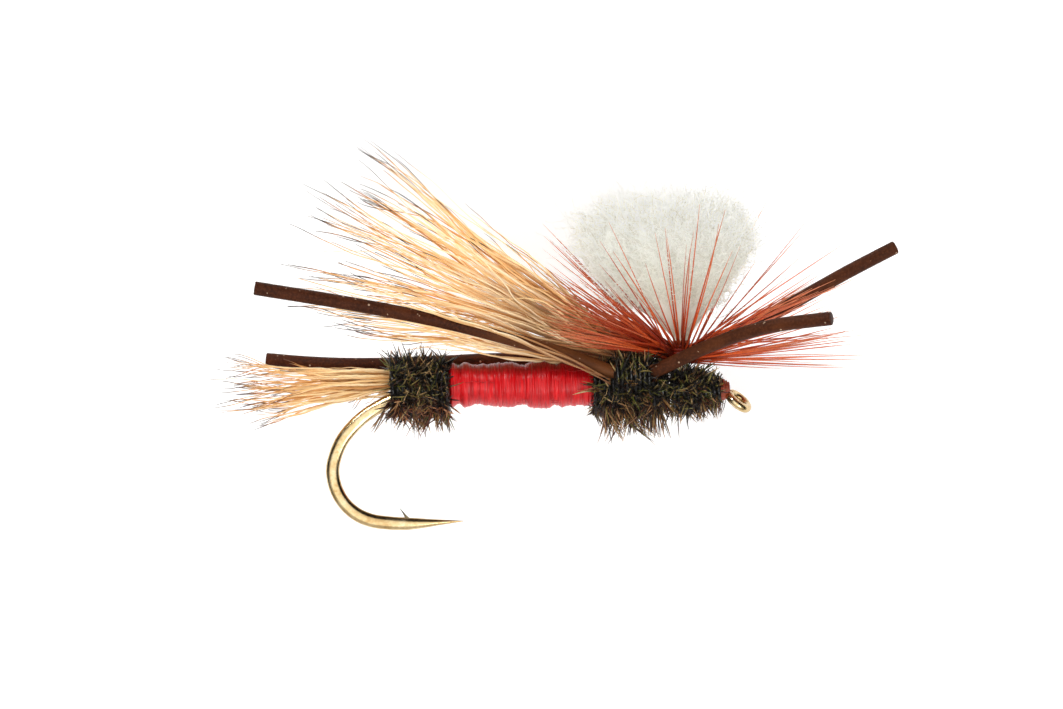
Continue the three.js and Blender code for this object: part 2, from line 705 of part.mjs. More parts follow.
// ------------------------------------------------------------------ post
// a foot lashed along the shank, a stem up through the herl, and the brushed-out crown
// stations: z, x of the middle, half width along x, half width along y
const STEM = [[0.9, POST_X, POST_R, POST_R], [1.4, POST_X, POST_R, POST_R]];
const CROWN = [
  [2.62, -2.66, 0.37, 0.36],
  [3.1, -2.78, 0.86, 0.62],
  [4.1, -3.1, 1.85, 1.15],
  [5.5, -3.32, 2.95, 1.7],
  [6.8, -3.4, 3.8, 2.1],
  [7.7, -3.42, 3.9, 2.15],
  [8.5, -3.3, 3.2, 1.75],
  [9.0, -3.2, 1.9, 1.0],
  [9.2, -3.1, 0.7, 0.4],
];
function makePost() {
  const rings = [...STEM, ...CROWN].map(([z, x, halfX, halfY], i) => {
    const depth = 0.045 * Math.max(0, Math.min(1, (i - 3) / 3)); // flutes deepen up the crown
    return around(20, (angle, k) => {
      const flute = 1 + (k % 2 ? depth : -depth);
      return vec(x + halfX * flute * Math.cos(angle), halfY * flute * Math.sin(angle), z);
    });
  });
  const foot = cylinderX(POST_X - 0.6, POST_X + 0.6, POST_FOOT_R, UNDER_Z)
    .subtract(cylinderX(-3.4, -1.9, BORE_R));
  const stemBase = rod([vec(POST_X, 0, 0.5), vec(POST_X, 0, 1.2)], [0.3, POST_R], 16);
  return mainBody(
    unite([solid(skin(rings)), foot, stemBase]).subtract(cylinderX(-3.6, -1.9, BORE_R)),
  );
}

// thread climbing the stem, on which the hackle sits
function makePostLashing() {
  const profile = windingProfile([1.3, 2.4], {
    inner: POST_R + 0.03, low: POST_R + 0.05, high: POST_R + 0.1, turns: 4, crest: [0.3, 0.7],
  });
  const geometry = lathe(profile, 16);
  geometry.rotateX(Math.PI / 2);
  geometry.translate(POST_X, 0, 0);
  return solid(geometry);
}

// ------------------------------------------------------------------ hackle
// the quill wound up the post, and its barbs standing out all round, clear of the rest
const BARB_COUNT = 36;
const BARB_TRIES = 2500;
const BARB_MIN_ANGLE = 0.09; // radians between any two barbs
const BARB_LEG_CLEARANCE = 0.2;

function makeQuill() {
  const steps = 36;
  const points = [];
  for (let i = 0; i <= steps; i++) {
    const angle = (i / steps) * HACKLE_TURNS * Math.PI * 2;
    points.push(vec(
      POST_X + HACKLE_RING_R * Math.cos(angle),
      HACKLE_RING_R * Math.sin(angle),
      HACKLE_Z[0] + (HACKLE_Z[1] - HACKLE_Z[0]) * (i / steps),
    ));
  }
  return rod(points, points.map((_, i) => (i === 0 || i === steps ? 0.06 : QUILL_R)), 5);
}

// points along every leg at steps through its travel
function legSweepPoints() {
  const points = [];
  for (const leg of Object.values(LEGS)) {
    const [lowest, highest] = leg.travel;
    for (let k = 0; k <= 8; k++) {
      const degrees = lowest + ((highest - lowest) * k) / 8;
      for (let i = 0; i <= 24; i++) points.push(swung(leg, i / 24, degrees));
    }
  }
  return points;
}

function inCrown(p) {
  const margin = 0.12;
  for (let i = 0; i + 1 < CROWN.length; i++) {
    const [z0, x0, halfX0, halfY0] = CROWN[i];
    const [z1, x1, halfX1, halfY1] = CROWN[i + 1];
    if (p.z >= z0 && p.z <= z1) {
      const share = (p.z - z0) / (z1 - z0);
      const x = x0 + (x1 - x0) * share;
      const halfX = halfX0 + (halfX1 - halfX0) * share + margin;
      const halfY = halfY0 + (halfY1 - halfY0) * share + margin;
      return ((p.x - x) / halfX) ** 2 + (p.y / halfY) ** 2 < 1;
    }
  }
  return false;
}

function inWing(p) {
  const offset = p.clone().sub(WING_FAN.origin);
  const elevation = (Math.atan2(offset.z, Math.hypot(offset.x, offset.y)) * 180) / Math.PI;
  const halfWidth = 0.35 + 0.2 * Math.abs(offset.x);
  return offset.x < 0 && elevation < 45 && Math.abs(offset.y) < halfWidth;
}

function inBody(p) {
  const distance = Math.hypot(p.y, p.z - UNDER_Z);
  const inThorax = p.x > -6.9 && p.x < -3.3 && distance < HERL_R + 0.4;
  return inThorax || (p.x >= -3.3 && p.x < -1 && distance < 1.15);
}

// the point of the quill at this azimuth nearest this height
function barbFoot(azimuth, height) {
  const pitch = (HACKLE_Z[1] - HACKLE_Z[0]) / HACKLE_TURNS;
  const share = azimuth / (2 * Math.PI);
  const nearest = Math.round((height - HACKLE_Z[0]) / pitch - share);
  const turn = Math.max(0, Math.min(HACKLE_TURNS - 1, nearest));
  return vec(
    POST_X + HACKLE_RING_R * Math.cos(azimuth),
    HACKLE_RING_R * Math.sin(azimuth),
    HACKLE_Z[0] + pitch * (turn + share),
  );
}

function makeHackle() {
  const draw = random(23);
  const legPoints = legSweepPoints();
  const clearOfLegs = (p) =>
    legPoints.every((q) => q.distanceTo(p) > LEG_R + BARB_LEG_CLEARANCE);
  const isFree = (p) => clearOfLegs(p) && !inCrown(p) && !inWing(p) && !inBody(p);
  const directions = [];
  const parts = [makeQuill()];
  for (let tries = 0; tries < BARB_TRIES && directions.length < BARB_COUNT; tries++) {
    const azimuth = draw() * Math.PI * 2;
    const elevation = (4 + 52 * draw() ** 1.4) * (Math.PI / 180);
    const length = 7.4 + 1.6 * draw();
    const height = HACKLE_Z[0] + 0.06 + (HACKLE_Z[1] - HACKLE_Z[0] - 0.12) * draw();
    const direction = vec(
      Math.cos(elevation) * Math.cos(azimuth),
      Math.cos(elevation) * Math.sin(azimuth),
      Math.sin(elevation),
    );
    const foot = barbFoot(azimuth, height);
    const pointAt = (distance) => foot.clone().addScaledVector(direction, distance);
    const samples = Array.from({ length: 16 }, (_, i) => pointAt((length * (i + 1)) / 16));
    if (!samples.every(isFree)) continue;
    const crowds = (other) => Math.acos(Math.min(1, other.dot(direction))) < BARB_MIN_ANGLE;
    if (directions.some(crowds)) continue;
    directions.push(direction);
    parts.push(rod([foot, pointAt(length)], [0.06, 0.025], 3, draw() * 2));
  }
  return mainBody(unite(parts));
}

// ------------------------------------------------------------------ the assembly
const finish = (settings) => new THREE.MeshStandardMaterial(settings);
const MATERIAL = {
  wire: finish({ color: 0xd9b45c, roughness: 0.22, metalness: 1 }),
  rustThread: finish({ color: 0x8a3d1c, roughness: 0.55 }),
  darkThread: finish({ color: 0x5a2a17, roughness: 0.6 }),
  hair: finish({ color: 0xe0b478, roughness: 0.45 }),
  herl: finish({ color: 0x2b2614, roughness: 0.5 }),
  floss: finish({ color: 0xd0161c, roughness: 0.4 }),
  yarn: finish({ color: 0xf1efe6, roughness: 0.7 }),
  feather: finish({ color: 0xa4431f, roughness: 0.4 }),
  rubber: finish({ color: 0x45200f, roughness: 0.55 }),
};

// a group of meshes from rows of name, solid, material
function groupOf(pieces) {
  const group = new THREE.Group();
  for (const [name, body, material] of pieces) {
    const mesh = new THREE.Mesh(geometryOf(body), material);
    mesh.name = name;
    group.add(mesh);
  }
  return group;
}

function makeLeg(name, { curve, tipBend }) {
  const root = strand(curve, { from: 0, to: tipBend, stations: 5 });
  const tip = strand(curve, { from: tipBend, to: 1, cutEnd: true, stations: 5 });
  return groupOf([
    [name + "_leg_root", root, MATERIAL.rubber],
    [name + "_leg_tip", tip, MATERIAL.rubber],
  ]);
}

const fly = new THREE.Group();
fly.name = "dry_fly";
fly.add(groupOf([
  ["hook", hook, MATERIAL.wire],
  ["thread_base", makeThreadBase(), MATERIAL.darkThread],
  ["tail_hair", makeTailHair(), MATERIAL.hair],
  ["tail_lashing", makeTailLashing(), MATERIAL.darkThread],
  ["rear_herl", makeRearHerl(), MATERIAL.herl],
  ["floss_band", makeFloss(), MATERIAL.floss],
  ["wing_hair", makeWingHair(), MATERIAL.hair],
  ["wing_lashing", makeWingLashing(), MATERIAL.darkThread],
  ["thorax_herl", makeThoraxHerl(), MATERIAL.herl],
  ["head_herl", makeHeadHerl(), MATERIAL.herl],
  ["post_yarn", makePost(), MATERIAL.yarn],
  ["post_lashing", makePostLashing(), MATERIAL.rustThread],
  ["hackle_feather", makeHackle(), MATERIAL.feather],
  ["leg_lashing", makeLegLashing(), MATERIAL.darkThread],
  ["head_thread", makeHeadThread(), MATERIAL.rustThread],
  ["near_strand_held", heldStrand(-1), MATERIAL.rubber],
  ["far_strand_held", heldStrand(1), MATERIAL.rubber],
]));
for (const [name, leg] of Object.entries(LEGS)) fly.add(makeLeg(name, leg));
fly.position.set(-GRIP[0], 0, -GRIP[1]);

const assembly = new THREE.Group();
assembly.add(fly);
export default assembly;
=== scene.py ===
"""Looks of the dry fly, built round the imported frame: real hair, herl, floss, yarn, feather barbs, thread and rubber."""
import math, json

import bpy
import bmesh
import numpy as np
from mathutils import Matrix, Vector


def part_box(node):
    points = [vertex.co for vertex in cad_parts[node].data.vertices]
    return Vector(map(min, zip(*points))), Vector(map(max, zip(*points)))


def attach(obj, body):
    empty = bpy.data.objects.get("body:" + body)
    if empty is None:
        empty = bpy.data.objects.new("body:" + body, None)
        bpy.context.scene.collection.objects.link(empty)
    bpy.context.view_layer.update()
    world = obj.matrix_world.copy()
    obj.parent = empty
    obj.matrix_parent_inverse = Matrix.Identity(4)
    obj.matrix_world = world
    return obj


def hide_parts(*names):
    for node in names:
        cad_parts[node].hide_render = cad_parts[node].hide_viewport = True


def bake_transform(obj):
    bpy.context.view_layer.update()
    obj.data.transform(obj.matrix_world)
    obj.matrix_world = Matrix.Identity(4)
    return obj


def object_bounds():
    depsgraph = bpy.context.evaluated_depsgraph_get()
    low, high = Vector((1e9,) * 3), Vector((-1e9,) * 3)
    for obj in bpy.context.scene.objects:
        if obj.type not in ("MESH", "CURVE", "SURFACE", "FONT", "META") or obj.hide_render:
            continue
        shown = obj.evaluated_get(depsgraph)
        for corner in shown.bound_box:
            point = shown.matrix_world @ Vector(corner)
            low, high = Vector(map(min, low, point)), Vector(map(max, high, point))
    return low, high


for _n in ("Cube", "Light", "Camera"):  # a new file's own objects
    if _n in bpy.data.objects:
        bpy.data.objects.remove(bpy.data.objects[_n])

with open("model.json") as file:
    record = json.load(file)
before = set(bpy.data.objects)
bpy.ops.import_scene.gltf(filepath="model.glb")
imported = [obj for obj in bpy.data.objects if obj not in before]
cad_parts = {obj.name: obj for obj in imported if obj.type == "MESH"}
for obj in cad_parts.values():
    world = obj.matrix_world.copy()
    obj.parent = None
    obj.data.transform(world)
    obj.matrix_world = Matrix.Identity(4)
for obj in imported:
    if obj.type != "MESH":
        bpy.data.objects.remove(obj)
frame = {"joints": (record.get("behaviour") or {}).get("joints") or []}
cad_lo, cad_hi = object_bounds()
MM = 1e-3

# The dressing is laid out in millimetres about the shank: x = 0 near the eye, z = 0 on the shank's axis.
_lo, _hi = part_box("thread_base")
OX, OZ = _hi.x + 1.16 * MM, (_lo.z + _hi.z) / 2


def W(p):
    """shank frame in mm -> row frame in metres"""
    q = np.asarray(p, float) * MM
    q[..., 0] += OX
    q[..., 2] += OZ
    return q


def srgb(r, g, b):
    def f(c):
        c = c / 255
        return c / 12.92 if c <= 0.04045 else ((c + 0.055) / 1.055) ** 2.4

    return (f(r), f(g), f(b), 1.0)


# ---------------------------------------------------------------- where the CAD puts things
_O = np.array([OX, 0.0, OZ])


def node_box(*nodes):
    """lowest and highest corners of CAD nodes, in the shank frame"""
    lo = np.min([tuple(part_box(n)[0]) for n in nodes], axis=0)
    hi = np.max([tuple(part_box(n)[1]) for n in nodes], axis=0)
    return (lo - _O) / MM, (hi - _O) / MM


def node_mesh(node):
    """a CAD node's vertices, in the shank frame, and its edges"""
    o = bpy.data.objects[node]
    V = np.array([tuple(o.matrix_world @ v.co) for v in o.data.vertices])
    E = np.array([tuple(e.vertices) for e in o.data.edges])
    return (V - _O) / MM, E


def section(node, axis, value):
    """points where a CAD node's edges cross a plane"""
    V, E = node_mesh(node)
    a, b = V[E[:, 0]], V[E[:, 1]]
    da, db = a[:, axis] - value, b[:, axis] - value
    hit = da * db < 0
    t = da[hit] / (da[hit] - db[hit])
    return a[hit] + (b[hit] - a[hit]) * t[:, None]


def rings(node, start, end):
    """middles of the rings that a CAD strand was swept through, in order from start to end"""
    V = np.unique(np.round(node_mesh(node)[0], 4), axis=0)
    d = (end - start) / np.linalg.norm(end - start)
    along = (V - start) @ d
    o = np.argsort(along)
    groups = np.split(o, np.nonzero(np.diff(along[o]) > 0.25)[0] + 1)
    return np.array([V[k].mean(0) for k in groups])


class Fan:
    """how far a CAD solid reaches from a point, by direction in the fly's plane, and how wide it is there"""

    def __init__(self, node, root, below=None):
        V, E = node_mesh(node)
        k = np.linspace(0, 1, 9)
        c = (V[E[:, 0]][:, None] + (V[E[:, 1]] - V[E[:, 0]])[:, None] * k[None, :, None]).reshape(-1, 3)
        if below is not None:
            c = c[c[:, 0] < below]
        self.root = np.asarray(root, float)
        d = c[:, [0, 2]] - self.root
        a = np.arctan2(d[:, 1], d[:, 0])
        self.a = np.where(a < -math.pi / 2, a + 2 * math.pi, a)
        self.r, self.y = np.hypot(d[:, 0], d[:, 1]), c[:, 1]

    def span(self, part):
        """directions in which the solid reaches at least this part of its greatest reach"""
        far = self.a[self.r > part * self.r.max()]
        return far.min(), far.max()

    def reach(self, a, w=0.04):
        near = np.abs(self.a - a) < w
        return self.r[near].max() if near.any() else self.r[np.argmin(np.abs(self.a - a))]

    def width(self, a, r):
        near = (np.abs(self.a - a) < 0.1) & (np.abs(self.r - r) < 1.2)
        return np.abs(self.y[near]).max() if near.any() else 0.5

    def at(self, a, part):
        r = self.reach(a) * part
        return self.root + r * np.array([math.cos(a), math.sin(a)]), r


def unit(v):
    return v / np.maximum(np.linalg.norm(v, axis=-1, keepdims=True), 1e-12)


def smooth(a, b, x):
    t = np.clip((x - a) / (b - a), 0, 1)
    return t * t * (3 - 2 * t)


# ---------------------------------------------------------------- meshes
def build(name, V, faces, uvs, attrs, mat, flat=None):
    """a mesh object from vertices in the shank frame and lists of equal-sized faces with corner UVs"""
    me = bpy.data.meshes.new(name)
    V = W(V)
    me.vertices.add(len(V))
    me.vertices.foreach_set("co", V.astype(np.float32).ravel())
    loops = np.concatenate([f.ravel() for f in faces]).astype(np.int32)
    sizes = np.concatenate([np.full(len(f), f.shape[1]) for f in faces])
    starts = np.concatenate([[0], np.cumsum(sizes)[:-1]]).astype(np.int32)
    me.loops.add(len(loops))
    me.loops.foreach_set("vertex_index", loops)
    me.polygons.add(len(sizes))
    me.polygons.foreach_set("loop_start", starts)
    me.update(calc_edges=True)
    me.polygons.foreach_set("use_smooth", np.ones(len(sizes), bool))
    if flat is not None:
        keep = np.ones(len(sizes), bool)
        keep[flat] = False
        me.polygons.foreach_set("use_smooth", keep)
    uv = me.uv_layers.new(name="OFBake")
    uv.data.foreach_set("uv", np.concatenate([u.reshape(-1, 2) for u in uvs]).astype(np.float32).ravel())
    for k, v in attrs.items():
        a = me.attributes.new(k, "FLOAT", "POINT")
        a.data.foreach_set("value", v.astype(np.float32).ravel())
    me.validate()
    me.materials.append(mat)
    o = bpy.data.objects.new(name, me)
    bpy.context.scene.collection.objects.link(o)
    return o


def strand_parts(P, R, sides=5, flat=1.0, ref=None, attrs=None, twist=0.0, seed=1, t=None):
    """closed tubes along N paths: P is (N,S,3), R is (N,S). Returns vertices, faces, corner UVs, attributes"""
    P = np.asarray(P, float)
    N, S = P.shape[:2]
    R = np.broadcast_to(np.asarray(R, float), (N, S))
    T = unit(np.gradient(P, axis=1))
    if ref is None:
        g = np.random.default_rng(seed)
        mean = unit(P[:, -1] - P[:, 0])
        ref = unit(np.cross(mean, g.normal(size=(N, 3))))
    ref = np.broadcast_to(ref, (N, 3))
    # carry the normal along each path so that a coil doesn't twist its tube
    nrm = np.zeros_like(P)
    n = ref - T[:, 0] * np.sum(ref * T[:, 0], -1, keepdims=True)
    bad = np.linalg.norm(n, axis=-1) < 1e-6
    n[bad] = np.cross(T[bad, 0], [0.3, 0.5, 0.8])
    for i in range(S):
        n = unit(n - T[:, i] * np.sum(n * T[:, i], -1, keepdims=True))
        nrm[:, i] = n
    B = np.cross(T, nrm)
    q = (np.arange(sides) / sides) * 2 * math.pi
    tw = twist * np.linspace(0, 1, S)[None, :, None]
    c, s = np.cos(q + tw), np.sin(q + tw)
    V = P[:, :, None] + R[:, :, None, None] * (c[..., None] * nrm[:, :, None] + flat * s[..., None] * B[:, :, None])
    k = sides
    idx = np.arange(N * S * k).reshape(N, S, k)
    nx = np.roll(idx, -1, axis=2)
    quads = np.stack([idx[:, :-1], nx[:, :-1], nx[:, 1:], idx[:, 1:]], -1)
    cap0 = idx[:, 0, ::-1]
    cap1 = idx[:, -1]
    # each strand has a cell of the map: a column with its length up the page
    cols = max(1, int(math.ceil(math.sqrt(N * 2.2))))
    rows = int(math.ceil(N / cols))
    ci, ri = np.arange(N) % cols, np.arange(N) // cols
    if t is None:
        t = np.broadcast_to(np.linspace(0, 1, S), (N, S))
    j0 = np.arange(k) / k
    j1 = (np.arange(k) + 1) / k
    u0 = (ci[:, None, None] + 0.08 + 0.84 * j0) / cols
    u1 = (ci[:, None, None] + 0.08 + 0.84 * j1) / cols
    v0 = (ri[:, None, None] + 0.04 + 0.92 * np.linspace(0, 1, S)[:-1][None, :, None]) / rows
    v1 = (ri[:, None, None] + 0.04 + 0.92 * np.linspace(0, 1, S)[1:][None, :, None]) / rows
    shp = (N, S - 1, k)
    uvq = np.stack([
        np.stack([np.broadcast_to(u0, shp), np.broadcast_to(v0, shp)], -1),
        np.stack([np.broadcast_to(u1, shp), np.broadcast_to(v0, shp)], -1),
        np.stack([np.broadcast_to(u1, shp), np.broadcast_to(v1, shp)], -1),
        np.stack([np.broadcast_to(u0, shp), np.broadcast_to(v1, shp)], -1),
    ], -2)
    ang = q / 1.0
    cu = (ci[:, None] + 0.5 + 0.05 * np.cos(ang)[None]) / cols
    uvc0 = np.stack([cu[:, ::-1], np.broadcast_to(((ri + 0.045) / rows)[:, None], (N, k))], -1)
    uvc1 = np.stack([cu, np.broadcast_to(((ri + 0.955) / rows)[:, None], (N, k))], -1)
    A = {"t": np.repeat(t.reshape(N, S, 1), k, 2).ravel()}
    for key, val in (attrs or {}).items():
        val = np.asarray(val, float)
        A[key] = np.repeat((val[:, None] if val.ndim == 1 else val) * np.ones((N, S)), k).ravel()
    return V.reshape(-1, 3), [quads.reshape(-1, 4), cap0, cap1], [uvq.reshape(-1, 2), uvc0.reshape(-1, 2), uvc1.reshape(-1, 2)], A


def merge(parts):
    """several strand parts into one, each in its own band of the map"""
    Vs, by, A, off = [], {}, {}, 0
    n = len(parts)
    keys = sorted({k for p in parts for k in p[3]})
    for i, (V, F, U, At) in enumerate(parts):
        Vs.append(V)
        for f, u in zip(F, U):
            u = u.reshape(len(f), f.shape[1], 2).copy()
            u[..., 1] = (u[..., 1] + i) / n
            by.setdefault(f.shape[1], []).append((f + off, u))
        for k in keys:
            A.setdefault(k, []).append(At.get(k, np.zeros(len(V))))
        off += len(V)
    F = [np.concatenate([x[0] for x in v]) for v in by.values()]
    U = [np.concatenate([x[1] for x in v]) for v in by.values()]
    return np.concatenate(Vs), F, U, {k: np.concatenate(v) for k, v in A.items()}


def strands(name, mat, parts, body="root", replaces=()):
    V, F, U, A = merge(parts) if isinstance(parts, list) else parts
    o = build(name, V, F, U, A, mat)
    if body:
        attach(o, body)
    if replaces:
        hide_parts(*replaces)
    return o


def catmull(points, n):
    """n points evenly spaced along a centripetal curve through the given points"""
    p = np.asarray(points, float)
    p = np.vstack([2 * p[0] - p[1], p, 2 * p[-1] - p[-2]])
    out = []
    for i in range(1, len(p) - 2):
        p0, p1, p2, p3 = p[i - 1 : i + 3]
        d = lambda a, b: max(np.linalg.norm(b[:3] - a[:3]) ** 0.5, 1e-6)
        t1 = d(p0, p1)
        t2 = t1 + d(p1, p2)
        t3 = t2 + d(p2, p3)
        for t in np.linspace(t1, t2, 24, endpoint=False):
            a1 = (t1 - t) / t1 * p0 + t / t1 * p1
            a2 = (t2 - t) / (t2 - t1) * p1 + (t - t1) / (t2 - t1) * p2
            a3 = (t3 - t) / (t3 - t2) * p2 + (t - t2) / (t3 - t2) * p3
            b1 = (t2 - t) / t2 * a1 + t / t2 * a2
            b2 = (t3 - t) / (t3 - t1) * a2 + (t - t1) / (t3 - t1) * a3
            out.append((t2 - t) / (t2 - t1) * b1 + (t - t1) / (t2 - t1) * b2)
    out.append(p[-2])
    out = np.array(out)
    s = np.concatenate([[0], np.cumsum(np.linalg.norm(np.diff(out[:, :3], axis=0), axis=1))])
    want = np.linspace(0, s[-1], n) if np.isscalar(n) else np.asarray(n) * s[-1]
    return np.stack([np.interp(want, s, out[:, c]) for c in range(out.shape[1])], -1), s[-1]


# ---------------------------------------------------------------- materials
class Mat:
    def __init__(self, name, **defaults):
        self.m = bpy.data.materials.new(name)
        self.m.use_nodes = True
        self.nt = self.m.node_tree
        self.nt.nodes.clear()
        self.out = self.nt.nodes.new("ShaderNodeOutputMaterial")
        self.bsdf = self.nt.nodes.new("ShaderNodeBsdfPrincipled")
        self.link(self.bsdf.outputs[0], self.out.inputs[0])
        for k, v in defaults.items():
            self.bsdf.inputs[k.replace("_", " ")].default_value = v

    def link(self, a, b):
        self.nt.links.new(a, b)

    def node(self, kind, **kw):
        n = self.nt.nodes.new(kind)
        for k, v in kw.items():
            setattr(n, k, v)
        return n

    def put(self, socket, v):
        if hasattr(v, "is_output") or isinstance(v, bpy.types.NodeSocket):
            self.link(v, socket)
        else:
            socket.default_value = v

    def attr(self, name):
        return self.node("ShaderNodeAttribute", attribute_name=name).outputs["Fac"]

    def math(self, op, a, b=0.0, c=0.0, clamp=False):
        n = self.node("ShaderNodeMath", operation=op, use_clamp=clamp)
        for s, v in zip(n.inputs, (a, b, c)):
            self.put(s, v)
        return n.outputs[0]

    def mix(self, f, a, b, blend="MIX"):
        n = self.node("ShaderNodeMix", data_type="RGBA", blend_type=blend)
        self.put(n.inputs[0], f)
        self.put(n.inputs[6], a)
        self.put(n.inputs[7], b)
        return n.outputs[2]

    def ramp(self, f, stops, mode="LINEAR"):
        n = self.node("ShaderNodeValToRGB")
        n.color_ramp.interpolation = mode
        e = n.color_ramp.elements
        while len(e) < len(stops):
            e.new(0.5)
        for x, (pos, col) in zip(e, stops):
            x.position = pos
            x.color = col
        self.put(n.inputs[0], f)
        return n.outputs[0]

    def mapr(self, f, a, b, c, d):
        n = self.node("ShaderNodeMapRange", clamp=True)
        for s, v in zip(n.inputs, (f, a, b, c, d)):
            self.put(s, v)
        return n.outputs[0]

    def coords(self, sx, sy, sz):
        c = self.node("ShaderNodeTexCoord").outputs["Object"]
        n = self.node("ShaderNodeMapping")
        self.link(c, n.inputs["Vector"])
        n.inputs["Scale"].default_value = (sx, sy, sz)
        return n.outputs[0]

    def xyz(self, x, y, z=0.0):
        n = self.node("ShaderNodeCombineXYZ")
        for s, v in zip(n.inputs, (x, y, z)):
            self.put(s, v)
        return n.outputs[0]

    def noise(self, vec, scale=1.0, detail=3.0, rough=0.55, out=0):
        n = self.node("ShaderNodeTexNoise")
        self.put(n.inputs["Vector"], vec)
        n.inputs["Scale"].default_value = scale
        n.inputs["Detail"].default_value = detail
        n.inputs["Roughness"].default_value = rough
        return n.outputs[out]

    def bump(self, h, strength, dist):
        n = self.node("ShaderNodeBump")
        n.inputs["Strength"].default_value = strength
        n.inputs["Distance"].default_value = dist
        self.put(n.inputs["Height"], h)
        self.link(n.outputs[0], self.bsdf.inputs["Normal"])

    def set(self, name, v):
        self.put(self.bsdf.inputs[name], v)


def hair_material(name, stops, glow, tip_shift=0.07):
    m = Mat(name, Roughness=0.42)
    t, r, r2 = m.attr("t"), m.attr("rnd"), m.attr("rnd2")
    shifted = m.math("ADD", t, m.math("MULTIPLY", m.math("SUBTRACT", r, 0.6), tip_shift))
    base = m.ramp(shifted, stops)
    tint = m.ramp(r2, [(0.0, srgb(190, 142, 94)), (0.12, srgb(230, 196, 152)), (0.34, srgb(252, 240, 216)), (0.6, srgb(255, 252, 240)), (1.0, srgb(255, 255, 255))])
    col = m.mix(1.0, base, tint, "MULTIPLY")
    streak = m.noise(m.xyz(m.math("MULTIPLY", t, 22.0), m.math("MULTIPLY", r, 91.0)), 1.0, 2.0)
    col = m.mix(m.mapr(streak, 0.42, 0.75, 0.0, 0.4), col, m.mix(1.0, col, srgb(228, 190, 146), "MULTIPLY"))
    m.set("Base Color", col)
    m.set("Roughness", m.mapr(streak, 0.3, 0.7, 0.34, 0.5))
    m.set("Specular IOR Level", 0.4)
    # painted glow: the hairs emit light in their own colour, standing in for light that comes through these hollow
    # hairs from behind; the glow is weaker towards the root, where they lie packed, as painted shade
    m.set("Emission Color", col)
    m.set("Emission Strength", m.math("MULTIPLY", m.mapr(t, 0.25, 0.7, 0.05, 1.0), glow))
    m.bump(m.noise(m.xyz(m.math("MULTIPLY", t, 150.0), m.math("MULTIPLY", r, 50.0)), 1.0, 2.0), 0.2, 2e-5)
    return m.m


WING_MAT = hair_material("wing_hair", [
    (0.0, srgb(116, 76, 46)), (0.12, srgb(156, 110, 70)), (0.3, srgb(198, 158, 114)), (0.5, srgb(250, 230, 196)),
    (0.78, srgb(252, 228, 184)), (0.87, srgb(228, 180, 120)), (0.91, srgb(128, 92, 68)), (0.94, srgb(36, 29, 31)), (1.0, srgb(58, 54, 60))], 0.2)
TAIL_MAT = hair_material("tail_hair", [
    (0.0, srgb(186, 134, 84)), (0.15, srgb(222, 182, 128)), (0.5, srgb(248, 224, 180)), (0.78, srgb(242, 206, 152)),
    (0.9, srgb(206, 158, 106)), (0.95, srgb(110, 88, 72)), (1.0, srgb(66, 58, 58))], 0.12)


def hackle_material():
    m = Mat("hackle_barbs", Roughness=0.34)
    t, r = m.attr("t"), m.attr("rnd")
    deep = m.ramp(t, [(0.0, srgb(96, 22, 8)), (0.25, srgb(150, 38, 14)), (0.6, srgb(186, 66, 30)), (1.0, srgb(204, 114, 74))])
    light = m.ramp(t, [(0.0, srgb(184, 60, 22)), (0.3, srgb(230, 98, 42)), (1.0, srgb(226, 142, 98))])
    col = m.mix(m.mapr(r, 0.2, 0.9, 0.0, 1.0), deep, light)
    n = m.noise(m.xyz(m.math("MULTIPLY", t, 60.0), m.math("MULTIPLY", r, 37.0)), 1.0, 2.0)
    col = m.mix(m.mapr(n, 0.4, 0.7, 0.0, 0.35), col, srgb(120, 38, 16))
    m.set("Base Color", col)
    m.set("Roughness", m.mapr(n, 0.3, 0.7, 0.28, 0.5))
    m.set("Specular IOR Level", 0.3)
    return m.m


def herl_material():
    m = Mat("peacock_herl", Roughness=0.38)
    t, r, warm, r2 = m.attr("t"), m.attr("rnd"), m.attr("warm"), m.attr("rnd2")
    cool = m.ramp(r, [(0.0, srgb(8, 7, 5)), (0.5, srgb(16, 12, 8)), (0.57, srgb(50, 46, 20)), (0.63, srgb(106, 110, 42)),
                      (0.71, srgb(70, 50, 28)), (0.8, srgb(136, 132, 62)), (0.88, srgb(178, 142, 96)), (0.94, srgb(92, 104, 50)), (1.0, srgb(222, 180, 130))])
    underlit_bronze = m.ramp(r, [(0.0, srgb(22, 10, 6)), (0.3, srgb(70, 32, 18)), (0.55, srgb(126, 66, 40)), (0.8, srgb(166, 102, 66)), (1.0, srgb(214, 152, 108))])
    # painted light: barbules with a high warm take the brighter bronze-brown ramp; on the nap and standing barbules it
    # grows towards the underside, standing in for light from below, while the clumps get a fixed bronze share
    col = m.mix(warm, cool, underlit_bronze)
    col = m.mix(m.mapr(t, 0.0, 0.4, 0.8, 0.0), col, srgb(7, 6, 4))
    streak = m.noise(m.xyz(m.math("MULTIPLY", t, 9.0), m.math("MULTIPLY", r2, 77.0)), 1.0, 2.0)
    col = m.mix(m.mapr(streak, 0.45, 0.7, 0.0, 0.6), col, m.mix(1.0, col, srgb(120, 108, 96), "MULTIPLY"))
    m.set("Base Color", col)
    m.set("Specular IOR Level", 0.5)
    m.set("Roughness", m.mapr(r, 0.0, 1.0, 0.28, 0.5))
    return m.m


